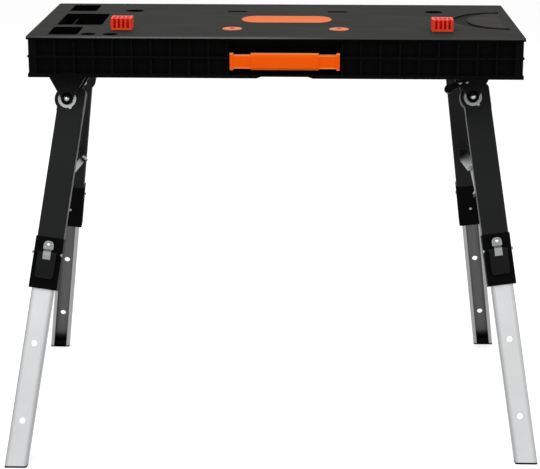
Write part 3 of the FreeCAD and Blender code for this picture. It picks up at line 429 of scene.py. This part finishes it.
STREAKS = (0.16, 1.0, 1.0)
SURFACE_DEPTH = (0.0001, 0.0005)
DECK_DARK = (0.0196, 0.0200, 0.0176)
DECK_LIGHT = (0.0318, 0.0323, 0.0290)
# The next three are painted light: a highlight on the relief's crest and island, a highlight on the
# edges, and the shade of the hollows and sides.
DECK_RELIEF_HIGHLIGHT = (0.0345, 0.0335, 0.0308)
DECK_EDGE_HIGHLIGHT = (0.085, 0.085, 0.081)
DECK_HOLLOW_SHADE = grey(0.0016)


def oval_reach(tree, place, half):
    """The square of how far out a point of the deck lies: 1 on the oval with these half sizes."""
    step = partial(reckon, tree)
    across = step("DIVIDE", step("SUBTRACT", place["X"], RELIEF_END), half[0])
    deep = step("DIVIDE", place["Y"], half[1])
    squares = [step("POWER", step("ABSOLUTE", side), 2.0) for side in (across, deep)]
    return step("ADD", *squares)


def relief_masks(tree, place, surface):
    """How much less painted shade the relief's groove takes than other hollows, and where the painted
    highlight of its crest and island lies.
    """
    step = partial(reckon, tree)
    short_of_end = fade(tree, place["X"], RELIEF_END - RELIEF_END_FADE, RELIEF_END)
    outline = oval_reach(tree, place, RELIEF_OUTER)
    groove = step("MULTIPLY", short_of_end, step("LESS_THAN", outline, GROOVE_REACH))
    shaded = step("MULTIPLY", fade(tree, place["X"], *GROOVE_FADE), GROOVE_PAINTED_SHADE)
    paler = step("MULTIPLY", groove, step("SUBTRACT", 1.0, shaded))
    line = step("MULTIPLY", fade(tree, outline, *CREST_FADE), step("GREATER_THAN", outline, 1.0))
    crest = step("MULTIPLY", step("MULTIPLY", short_of_end, surface), line)
    inner = fade(tree, oval_reach(tree, place, RELIEF_INNER), *ISLAND_FADE)
    island = step("MULTIPLY", short_of_end, inner)
    return paler, step("MAXIMUM", crest, island)


def deck_plastic():
    """Streaky black plastic: a painted highlight along the front rim, and painted shade that makes the
    hollows and sides nearly black.
    """
    material, tree, bsdf, where = start_finish("deck_black")
    step = partial(reckon, tree)
    along = tree.nodes.new("ShaderNodeMapping")
    along.inputs["Scale"].default_value = STREAKS
    tree.links.new(where, along.inputs["Vector"])
    skin = place_effect(tree, GRAIN, along.outputs["Vector"], Grain_Scale=1100.0, Patch_Scale=34.0,
                        Smooth=0.55, Rough=0.70)
    edge_highlight = place_effect(tree, EDGE_HIGHLIGHTS, where, Radius=0.0016)
    place = coordinates(tree, where)
    surface = fade(tree, step("SUBTRACT", DECK_TOP, place["Z"]), *SURFACE_DEPTH)
    paler, high = relief_masks(tree, place, surface)
    # Painted shade: below the top face the deck turns nearly black, less so in the relief's groove.
    hollow_shade = step("MULTIPLY", step("SUBTRACT", 1.0, surface), step("SUBTRACT", 1.0, paler))
    patchy = tint(tree, skin["Patch"], DECK_DARK, DECK_LIGHT)
    # Painted highlights: on the relief's crest and island, then along the edges.
    raised = tint(tree, high, patchy, DECK_RELIEF_HIGHLIGHT)
    edge_lit = tint(tree, edge_highlight["Edge"], raised, DECK_EDGE_HIGHLIGHT)
    sunk = tint(tree, hollow_shade, edge_lit, DECK_HOLLOW_SHADE)
    # A painted highlight along the front rim, brightest left of the middle.
    rim = step("MULTIPLY", step("LESS_THAN", place["Y"], RIM_INNER_Y),
               step("GREATER_THAN", place["Z"], RIM_LOW_Z))
    rim_highlight_tone = tint(tree, skin["Patch"], RIM_HIGHLIGHT_DARK, RIM_HIGHLIGHT_LIGHT)
    from_middle = step("ABSOLUTE", step("SUBTRACT", place["X"], RIM_HIGHLIGHT_X))
    pale = tint(tree, fade(tree, from_middle, *RIM_HIGHLIGHT_REACH), rim_highlight_tone, RIM_HIGHLIGHT_PEAK)
    lay_on(tree, bsdf, tint(tree, rim, sunk, pale), skin, SKIN_RELIEF, SKIN_DEPTH)
    bsdf.inputs["Specular IOR Level"].default_value = 0.01
    return material


# The handle's painted highlight along its top and bottom edges, by their distance from its middle line.
# The necks beside the grip are lower.
GRIP_EDGE = (0.0126, 0.0142)
NECK_REACH = (0.060, 0.091)
NECK_LOWER = 0.0030
HANDLE_DARK = (0.92, 0.098, 0.0005)
HANDLE_LIGHT = (0.98, 0.116, 0.001)
HANDLE_EDGE_HIGHLIGHT = (1.0, 0.30, 0.11)
HANDLE_RELIEF = 0.2


def handle_plastic():
    """Orange plastic with a painted highlight along its rounded top and bottom edges."""
    material, tree, bsdf, where = start_finish("handle_orange")
    step = partial(reckon, tree)
    skin = place_effect(tree, GRAIN, where, Grain_Scale=700.0, Smooth=0.42, Rough=0.56)
    place = coordinates(tree, where)
    aside = step("ABSOLUTE", step("SUBTRACT", place["X"], HANDLE_X))
    from_middle = step("ABSOLUTE", step("SUBTRACT", place["Z"], HANDLE_Z))
    beside_grip = step("MULTIPLY", step("GREATER_THAN", aside, NECK_REACH[0]),
                       step("LESS_THAN", aside, NECK_REACH[1]))
    level = step("ADD", from_middle, step("MULTIPLY", beside_grip, NECK_LOWER))
    # A painted highlight along the top and bottom edges.
    edge = step("SUBTRACT", 1.0, fade(tree, level, *GRIP_EDGE))
    patchy = tint(tree, skin["Patch"], HANDLE_DARK, HANDLE_LIGHT)
    lay_on(tree, bsdf, tint(tree, edge, patchy, HANDLE_EDGE_HIGHLIGHT), skin, HANDLE_RELIEF, SKIN_DEPTH)
    bsdf.inputs["Specular IOR Level"].default_value = 0.06
    return material


# The aluminium's tones. The edge, lip and inside tones are painted shade, darkest inside the channel.
LEG_DARK = (0.55, 0.555, 0.56)
LEG_LIGHT = (0.64, 0.645, 0.65)
LEG_EDGE_SHADE = (0.34, 0.345, 0.35)
LEG_LIP_SHADE = grey(0.34)
LEG_INSIDE_SHADE = (0.105, 0.105, 0.104)


def leg_aluminium(end, which):
    """Satin aluminium with its lines along the leg, and painted shade on its long edges and lips,
    darkest inside the channel.
    """
    material, tree, bsdf, where = start_finish("aluminium_" + end)
    leg = (leg_place(*which) @ at(LEG_OFFSET, 0.0, 0.0)).inverted()
    own = tree.nodes.new("ShaderNodeMapping")
    own.inputs["Location"].default_value = leg.to_translation()
    own.inputs["Rotation"].default_value = leg.to_euler("XYZ")
    tree.links.new(where, own.inputs["Vector"])
    place = own.outputs["Vector"]
    lines = place_effect(tree, LINES, place, Across=1500.0, Along=7.0, Smooth=0.36, Rough=0.5)
    skin = place_effect(tree, GRAIN, place, Grain_Scale=500.0, Patch_Scale=22.0)
    channel = place_effect(tree, CHANNEL, place)
    bright = tint(tree, skin["Patch"], LEG_DARK, LEG_LIGHT)
    # Painted shade on the long edges and the lips, and darkest inside the channel.
    faced = tint(tree, channel["Edge"], bright, LEG_EDGE_SHADE)
    lipped = tint(tree, channel["Lip"], faced, LEG_LIP_SHADE)
    lay_on(tree, bsdf, tint(tree, channel["Inside"], lipped, LEG_INSIDE_SHADE), lines, LINE_RELIEF, LINE_DEPTH)
    bsdf.inputs["Metallic"].default_value = 1.0
    return material


DECK = deck_plastic()
HANDLE = handle_plastic()
# The third colour of each plastic is the painted highlight on its edges.
APRON = plastic("apron_black", (0.0016, 0.0016, 0.0017), (0.0032, 0.0032, 0.0033), grey(0.012),
                gloss=(0.45, 0.60), grain=800.0, specular=0.02)
LATCH_BLACK = plastic("latch_black", (0.0030, 0.0032, 0.0036), (0.0060, 0.0063, 0.0068),
                      (0.030, 0.030, 0.031), gloss=(0.38, 0.5), grain=900.0, specular=0.09)
POWDER = plastic("powder_black", (0.0060, 0.0065, 0.0063), (0.0098, 0.0107, 0.0105),
                 (0.150, 0.150, 0.146), gloss=(0.38, 0.52), grain=1500.0, specular=0.11,
                 edge=0.0010, depth=0.00012)
BADGE = plastic("badge_orange", (0.76, 0.150, 0.030), (0.84, 0.180, 0.042), (0.88, 0.24, 0.08),
                gloss=(0.42, 0.56), grain=500.0, specular=0.02)
PLUG = plastic("plug_salmon", (0.74, 0.205, 0.100), (0.82, 0.245, 0.130), (0.88, 0.32, 0.2),
               gloss=(0.42, 0.56), grain=500.0, specular=0.02)
RED = plastic("dog_red", (0.90, 0.038, 0.014), (0.98, 0.054, 0.020), (1.0, 0.21, 0.09),
              gloss=(0.36, 0.48), grain=500.0, specular=0.04, edge=0.0024)
# Near-black for the painted shade that widens the grip slots and the tool holes.
HOLE_SHADE_BLACK = plastic("slot_black", grey(0.0009), grey(0.0014), grey(0.0020),
                     gloss=(0.7, 0.85), grain=700.0, specular=0.01)
# Deep red for the painted shade in the dog slots, and for the plug centres.
SLOT_RED = plastic("dog_slot_red", (0.46, 0.001, 0.001), (0.56, 0.003, 0.002), (0.66, 0.010, 0.006),
                   gloss=(0.42, 0.55), grain=500.0, specular=0.06)
FOOT = plastic("foot_black", grey(0.0022), grey(0.0044), grey(0.012),
               gloss=(0.6, 0.78), grain=700.0, specular=0.03)
ZINC = metal("zinc_plate", (0.24, 0.26, 0.25), (0.34, 0.36, 0.35),
             gloss=(0.28, 0.42), across=700.0, along=60.0)
# The lock discs: a lighter, less metallic copy of the zinc plate, painted light so that they look lit
# where the lamps leave them in shade.
DISC_LIT_ZINC = metal("disc_zinc", (0.39, 0.405, 0.40), (0.49, 0.505, 0.50),
             gloss=(0.28, 0.42), across=700.0, along=60.0, metallic=0.55)
BRIGHT = metal("bright_rivet", (0.72, 0.73, 0.72), (0.82, 0.83, 0.82),
               gloss=(0.16, 0.26), across=600.0, along=80.0)
ALUMINIUM = {end: leg_aluminium(end, which) for end, which in LEGS.items()}

# The finish of each solid, by how its name begins. The rest is zinc.

SOLID_FINISHES = {
    "top_panel": DECK,
    "apron_frame": APRON,
    "badge_plate": BADGE,
    "hole_plugs": PLUG,
    "carry_handle": HANDLE,
    "bench_dog": RED,
    "cross_rail": POWDER,
    "hinge_bracket": POWDER,
    "upper_leg": POWDER,
    "leg_collar": APRON,
    "latch_flap": LATCH_BLACK,
    "lock_lever": LATCH_BLACK,
    "leg_foot": FOOT,
    "lock_disc": DISC_LIT_ZINC,
    **{"lower_leg_" + end: finish for end, finish in ALUMINIUM.items()},
}


def clothe_solids():
    for name, node in nodes.items():
        finishes = [finish for start, finish in SOLID_FINISHES.items() if name.startswith(start)]
        node.data.materials.clear()
        node.data.materials.append(finishes[0] if finishes else ZINC)


# Modelling by hand

def clear_selection():
    bpy.ops.object.select_all(action="DESELECT")


def start_editing():
    bpy.ops.object.mode_set(mode="EDIT")
    bpy.ops.mesh.select_all(action="SELECT")


def stop_editing():
    """Turns all faces outwards and leaves the mesh."""
    bpy.ops.mesh.select_all(action="SELECT")
    bpy.ops.mesh.normals_make_consistent(inside=False)
    bpy.ops.object.mode_set(mode="OBJECT")


def extrude(rise):
    bpy.ops.mesh.extrude_region_move(TRANSFORM_OT_translate={"value": (0, 0, rise)})


def bring_to_size(x, y, z=1.0):
    bpy.context.object.scale = (x, y, z)
    bpy.ops.object.transform_apply(location=False, rotation=False, scale=True)


def settle(name, place, material, body):
    """Ends a piece: its place goes into its mesh, and it gets its finish and rides on its body."""
    piece = bpy.context.object
    piece.name = name
    piece.data.name = name
    piece.matrix_world = place @ piece.matrix_world
    bpy.ops.object.transform_apply(location=True, rotation=True, scale=True)
    bpy.ops.object.shade_smooth_by_angle(angle=SMOOTH_ANGLE)
    piece.data.materials.clear()
    piece.data.materials.append(material)
    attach(piece, body)
    return piece


def dome(radius, height, rim, sides=DOME_SIDES):
    """A rivet head on the xy plane, rounded over by shrinking extrusions."""
    clear_selection()
    bpy.ops.mesh.primitive_circle_add(vertices=sides, radius=radius, fill_type="NGON")
    start_editing()
    steps = ((rim, 1.0), *ROUNDING)
    risen = sum(rise for rise, share in steps)
    width = 1.0
    for rise, share in steps:
        extrude(height * rise / risen)
        shrink = share / width
        bpy.ops.transform.resize(value=(shrink, shrink, 1.0))
        width = share
    stop_editing()


def rim_ring(inner, outer, height, sunk):
    """A low rounded ring round a hole, standing on the xy plane and sunk a little into it."""
    clear_selection()
    bpy.ops.mesh.primitive_circle_add(vertices=RING_SIDES, radius=outer, fill_type="NOTHING")
    start_editing()
    shoulder = (outer - inner) * SHOULDER
    rings = ((outer - shoulder, height * SHOULDER_RISE), ((inner + outer) / 2, height),
             (inner + shoulder, height * SHOULDER_RISE), (inner, 0.0), (inner, -sunk), (outer, -sunk))
    width = outer
    level = 0.0
    for radius, rise in rings:
        extrude(rise - level)
        bpy.ops.transform.resize(value=(radius / width, radius / width, 1.0))
        width = radius
        level = rise
    extrude(sunk)
    bpy.ops.mesh.select_all(action="SELECT")
    bpy.ops.mesh.remove_doubles(threshold=WELD)
    stop_editing()


# The deck's small pieces

def make_plug_centres():
    for side, x in PLUG_X.items():
        dome(*PLUG_CENTRE)
        settle("plug_centre_" + side, at(x, PLUG_Y, PLUG_TOP), SLOT_RED, "bench")


def make_badge_face():
    """The bare badge: a long plate with rounded ends and a low lip round it."""
    clear_selection()
    bpy.ops.mesh.primitive_plane_add(size=1.0)
    bring_to_size(*BADGE_BLANK)
    start_editing()
    bpy.ops.mesh.bevel(offset=BADGE_CORNER, segments=16, affect="VERTICES")
    bpy.ops.mesh.select_all(action="SELECT")
    extrude(BADGE_T)
    bpy.ops.mesh.inset(thickness=BADGE_LIP_W, depth=-BADGE_LIP_H)
    stop_editing()
    bring_to_size(BADGE_SHARE, 1.0)
    settle("badge_face", at(HANDLE_X, BADGE_Y, DECK_TOP + BADGE_LIFT), BADGE, "bench")


def make_slot_frames():
    """A thin black frame round each grip slot, painted shade that widens the slot's dark: a plane in
    cells, inset, opened and raised.
    """
    for side, x in PLUG_X.items():
        clear_selection()
        bpy.ops.mesh.primitive_grid_add(x_subdivisions=GRIP_SLOTS, y_subdivisions=1, size=1.0)
        bring_to_size(*GRIP_CELLS)
        start_editing()
        bpy.ops.mesh.inset(thickness=GRIP_CELL_GAP, use_individual=True)
        bpy.ops.mesh.select_all(action="INVERT")
        bpy.ops.mesh.delete(type="FACE")
        bpy.ops.mesh.select_all(action="SELECT")
        bpy.ops.mesh.inset(thickness=GRIP_FRAME_W, use_individual=True)
        bpy.ops.transform.resize(value=(1.0, GRIP_FRAME_NARROWER, 1.0))
        bpy.ops.mesh.delete(type="FACE")
        bpy.ops.mesh.select_all(action="SELECT")
        extrude(GRIP_FRAME_H)
        stop_editing()
        settle("slot_frame_" + side, at(x, GRIP_SLOT_Y, DECK_TOP), HOLE_SHADE_BLACK, "bench")


def make_tool_hole_rims():
    """Low black rings round the two tool holes: painted shade that widens their dark."""
    for label, place in TOOL_HOLES.items():
        rim_ring(*TOOL_HOLE_RIM)
        settle("tool_hole_rim_" + label, at(*place, DECK_TOP), HOLE_SHADE_BLACK, "bench")


def make_dog_strips():
    """Deep red strips in the slots of a bench dog, a little below its faces: painted shade in the slots.
    """
    for side, x in DOG_X.items():
        clear_selection()
        bpy.ops.mesh.primitive_cube_add(size=1.0)
        bring_to_size(*DOG_STRIP)
        start_editing()
        bpy.ops.mesh.bevel(offset=DOG_STRIP_EDGE, segments=2)
        stop_editing()
        row = bpy.context.object.modifiers.new("row", "ARRAY")
        row.count = DOG_SLOTS
        row.use_relative_offset = False
        row.use_constant_offset = True
        row.constant_offset_displace = (DOG_SLOT_PITCH, 0.0, 0.0)
        bpy.ops.object.modifier_apply(modifier="row")
        first = x - (DOG_SLOTS - 1) / 2 * DOG_SLOT_PITCH
        settle("dog_strips_" + side, at(first, DOG_STRIP_Y, DOG_STRIP_Z), SLOT_RED,
               "bench_dog_" + side)


def make_underside_ribs():
    """The rib grid below the work surface: a grid of edges, pulled down and thickened."""
    clear_selection()
    bpy.ops.mesh.primitive_grid_add(x_subdivisions=RIB_CELLS[0], y_subdivisions=RIB_CELLS[1], size=1.0)
    ribs = bpy.context.object
    ribs.location = (RIB_X, 0.0, RIB_TOP)
    ribs.scale = (*RIB_GRID, 1.0)
    bpy.ops.object.transform_apply(location=True, rotation=True, scale=True)
    start_editing()
    bpy.ops.mesh.delete(type="ONLY_FACE")
    bpy.ops.mesh.select_all(action="SELECT")
    extrude(-RIB_H)
    bpy.ops.mesh.select_all(action="SELECT")
    bpy.ops.mesh.remove_doubles(threshold=WELD)
    bpy.ops.object.mode_set(mode="OBJECT")
    walls = ribs.modifiers.new("walls", "SOLIDIFY")
    walls.thickness = RIB_T
    walls.offset = 0.0
    walls.use_even_offset = True
    walls.solidify_mode = "NON_MANIFOLD"
    bpy.ops.object.modifier_apply(modifier="walls")
    settle("underside_ribs", Matrix.Identity(4), DECK, "bench")


# The legs' small pieces

def make_leg_details(end, which):
    """The rims of a leg's holes, the caps of its latch axle and its rivets."""
    leg = leg_place(*which)
    body = "leg_" + end
    for number in (1, 2):
        rim_ring(*HOLE_RIM)
        hole = at(LEG_OFFSET, -LOWER_DEPTH / 2, -PIN_AT - number * HOLE_PITCH)
        settle(f"hole_rim_{end}_{number}", leg @ hole @ OUTWARDS, ALUMINIUM[end],
               "slider_" + end)
    for label, side, facing in (("inner", -1, TO_LEFT), ("outer", 1, TO_RIGHT)):
        dome(*AXLE_CAP, sides=AXLE_CAP_SIDES)
        tip = at(LEG_OFFSET + side * COLLAR_HALF, AXLE_Y, -AXLE_AT)
        settle(f"axle_cap_{end}_{label}", leg @ tip @ facing, ZINC, body)
    leaf = leg @ at(LEG_OFFSET, LEAF_FACE, -RIVET_AT) @ OUTWARDS
    rim_ring(*LEAF_RING)
    settle("leaf_ring_" + end, leaf, ZINC, body)
    dome(*LEAF_RIVET)
    settle("leaf_rivet_" + end, leaf @ at(0.0, 0.0, LEAF_RIVET_RISE), BRIGHT, body)
    dome(*COLLAR_RIVET)
    back = at(LEG_OFFSET, COLLAR_BACK, -PIN_AT)
    settle("collar_rivet_" + end, leg @ back @ INWARDS, ZINC, body)


def make_hinge_boss(end, which):
    """The black boss round the head of a hinge bolt, and the bright crown on that head."""
    cheek = hinge_place(*which) @ at(0.0, CHEEK_FACE, 0.0) @ OUTWARDS
    rim_ring(*HINGE_BOSS)
    settle("hinge_boss_" + end, cheek, APRON, "bench")
    dome(*BOLT_CROWN)
    settle("bolt_crown_" + end, cheek @ at(0.0, 0.0, BOLT_CROWN_RISE), BRIGHT, "bench")


def make_lever_rivets(end, which):
    """The rivet that a lock lever turns on, and the one beside it in the bracket."""
    hinge = hinge_place(*which)
    dome(*LEVER_RIVET)
    pivot = at(LEVER_PIVOT[0], LEVER_FACE, LEVER_PIVOT[1])
    settle("lever_rivet_" + end, hinge @ pivot @ OUTWARDS, ZINC, "lock_lever_" + end)
    dome(*BRACKET_RIVET)
    beside = at(BRACKET_RIVET_AT[0], CHEEK_FACE, BRACKET_RIVET_AT[1])
    settle("bracket_rivet_" + end, hinge @ beside @ OUTWARDS, ZINC, "bench")


def foot_block(place, width, depth, edge, low, high):
    """A block along the leg with rounded long edges, cut level at two heights above the floor."""
    clear_selection()
    bpy.ops.mesh.primitive_cube_add(size=1.0)
    block = bpy.context.object
    bring_to_size(width, depth, FOOT_BLOCK_L)
    bpy.ops.object.mode_set(mode="EDIT")
    bpy.ops.mesh.select_all(action="DESELECT")
    bpy.ops.mesh.select_mode(type="EDGE")
    bpy.ops.object.mode_set(mode="OBJECT")
    for line in block.data.edges:
        ends = [block.data.vertices[i].co for i in line.vertices]
        line.select = abs(ends[0].z - ends[1].z) > width
    bpy.ops.object.mode_set(mode="EDIT")
    bpy.ops.mesh.bevel(offset=edge, segments=6)
    bpy.ops.object.mode_set(mode="OBJECT")
    block.matrix_world = place
    bpy.ops.object.transform_apply(location=True, rotation=True, scale=True)
    bpy.ops.object.mode_set(mode="EDIT")
    for height, below in ((low, True), (high, False)):
        bpy.ops.mesh.select_all(action="SELECT")
        bpy.ops.mesh.bisect(plane_co=(0, 0, height), plane_no=(0, 0, 1), use_fill=True,
                            clear_inner=below, clear_outer=not below)
    bpy.ops.mesh.select_mode(type="VERT")
    stop_editing()
    return block


def make_foot(end, which):
    """The foot of a leg: a level sole below the channel and a low plug in it."""
    place = leg_place(*which) @ at(LEG_OFFSET, 0.0, -LEG_REACH)
    inside = 2 * (LOWER_WALL + FOOT_PLUG_FIT)
    plug = foot_block(place, LOWER_W - inside, LOWER_DEPTH - inside, FOOT_PLUG_EDGE_R,
                      FOOT_T - FOOT_LAP, FOOT_T + FOOT_PLUG_H)
    foot_block(place, LOWER_W, LOWER_DEPTH, LOWER_EDGE_R, 0.0, FOOT_T)
    plug.select_set(True)
    bpy.ops.object.join()
    foot = settle("foot_sole_" + end, Matrix.Identity(4), FOOT, "slider_" + end)
    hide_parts("leg_foot_" + end)


# Camera, floor and light

SENSOR_W = 36.0
PICTURE_W = 540.0
FOCAL_PIXELS = 1734.3
CAMERA_AT = (0.0758, -3.2404, 1.2223)
CAMERA_YAW = 0.0247
CAMERA_PITCH = 0.2664
CAMERA_ROLL = 0.0012

FLOOR_SIZE = 60.0
FLOOR_GREY = 0.62
FLOOR_GLOW = 0.62
WORLD_LIGHT = 0.55

# Each lamp: its place, where it points, its size and its power

LAMPS = {
    "key_lamp": ((-1.4, -2.2, 3.4), (0.0, 0.0, 0.5), (2.4, 2.4), 60.0),
    "fill_lamp": ((2.4, -1.8, 2.2), (0.0, 0.0, 0.4), (2.0, 2.0), 22.0),
    "back_lamp": ((0.0, 2.6, 2.6), (0.0, 0.0, 0.6), (3.0, 1.2), 25.0),
}


def set_camera():
    """The photograph's place, from the deck's corners, the hinge bolts, the leg holes and the feet."""
    bpy.ops.object.camera_add()
    camera = bpy.context.object
    camera.name = "front_camera"
    lens = camera.data
    lens.sensor_fit = "HORIZONTAL"
    lens.sensor_width = SENSOR_W
    lens.lens = FOCAL_PIXELS * SENSOR_W / PICTURE_W
    yaw = Matrix.Rotation(CAMERA_YAW, 4, "Z")
    tilt = Matrix.Rotation(pi / 2 - CAMERA_PITCH, 4, "X")
    roll = Matrix.Rotation(CAMERA_ROLL, 4, "Z")
    camera.matrix_world = at(*CAMERA_AT) @ yaw @ tilt @ roll
    bpy.context.scene.camera = camera


def background_rays(tree):
    """1 for rays that see the background itself: from the camera, a mirror or glass."""
    path = tree.nodes.new("ShaderNodeLightPath")
    total = path.outputs["Is Camera Ray"]
    for label in ("Is Glossy Ray", "Is Transmission Ray"):
        total = reckon(tree, "MAXIMUM", total, path.outputs[label])
    return total


def lay_floor():
    """A pale floor that takes shadows and looks white to the camera."""
    clear_selection()
    bpy.ops.mesh.primitive_plane_add(size=FLOOR_SIZE)
    floor = bpy.context.object
    floor.name = "studio_floor"
    material = bpy.data.materials.new("studio_floor")
    material.use_nodes = True
    tree = material.node_tree
    tree.nodes.clear()
    matt = tree.nodes.new("ShaderNodeBsdfDiffuse")
    matt.inputs["Color"].default_value = (*grey(FLOOR_GREY), 1.0)
    glow = tree.nodes.new("ShaderNodeEmission")
    both = tree.nodes.new("ShaderNodeAddShader")
    out = tree.nodes.new("ShaderNodeOutputMaterial")
    link = tree.links.new
    link(reckon(tree, "MULTIPLY", background_rays(tree), FLOOR_GLOW), glow.inputs["Strength"])
    link(matt.outputs["BSDF"], both.inputs[0])
    link(glow.outputs["Emission"], both.inputs[1])
    link(both.outputs["Shader"], out.inputs["Surface"])
    floor.data.materials.append(material)


def set_world():
    """A white background, which lights the bench less than it shows."""
    world = bpy.data.worlds.new("studio")
    bpy.context.scene.world = world
    world.use_nodes = True
    tree = world.node_tree
    back = tree.nodes["Background"]
    back.inputs["Color"].default_value = (*grey(1.0), 1.0)
    level = spread(tree, background_rays(tree), target=(WORLD_LIGHT, 1.0))
    tree.links.new(level, back.inputs["Strength"])


def hang_lamp(name, place, target, size, power):
    bpy.ops.object.light_add(type="AREA", location=place)
    lamp = bpy.context.object
    lamp.name = name
    lamp.data.shape = "RECTANGLE"
    lamp.data.size, lamp.data.size_y = size
    lamp.data.energy = power
    lamp.rotation_euler = (Vector(target) - Vector(place)).to_track_quat("-Z", "Y").to_euler()


clothe_solids()
make_plug_centres()
make_badge_face()
make_slot_frames()
make_tool_hole_rims()
make_dog_strips()
make_underside_ribs()
for end, which in LEGS.items():
    make_leg_details(end, which)
    make_hinge_boss(end, which)
    make_foot(end, which)
for end in LEVERS:
    make_lever_rivets(end, LEGS[end])
set_camera()
lay_floor()
set_world()
for name, lamp in LAMPS.items():
    hang_lamp(name, *lamp)
bpy.context.scene.view_settings.view_transform = "Standard"
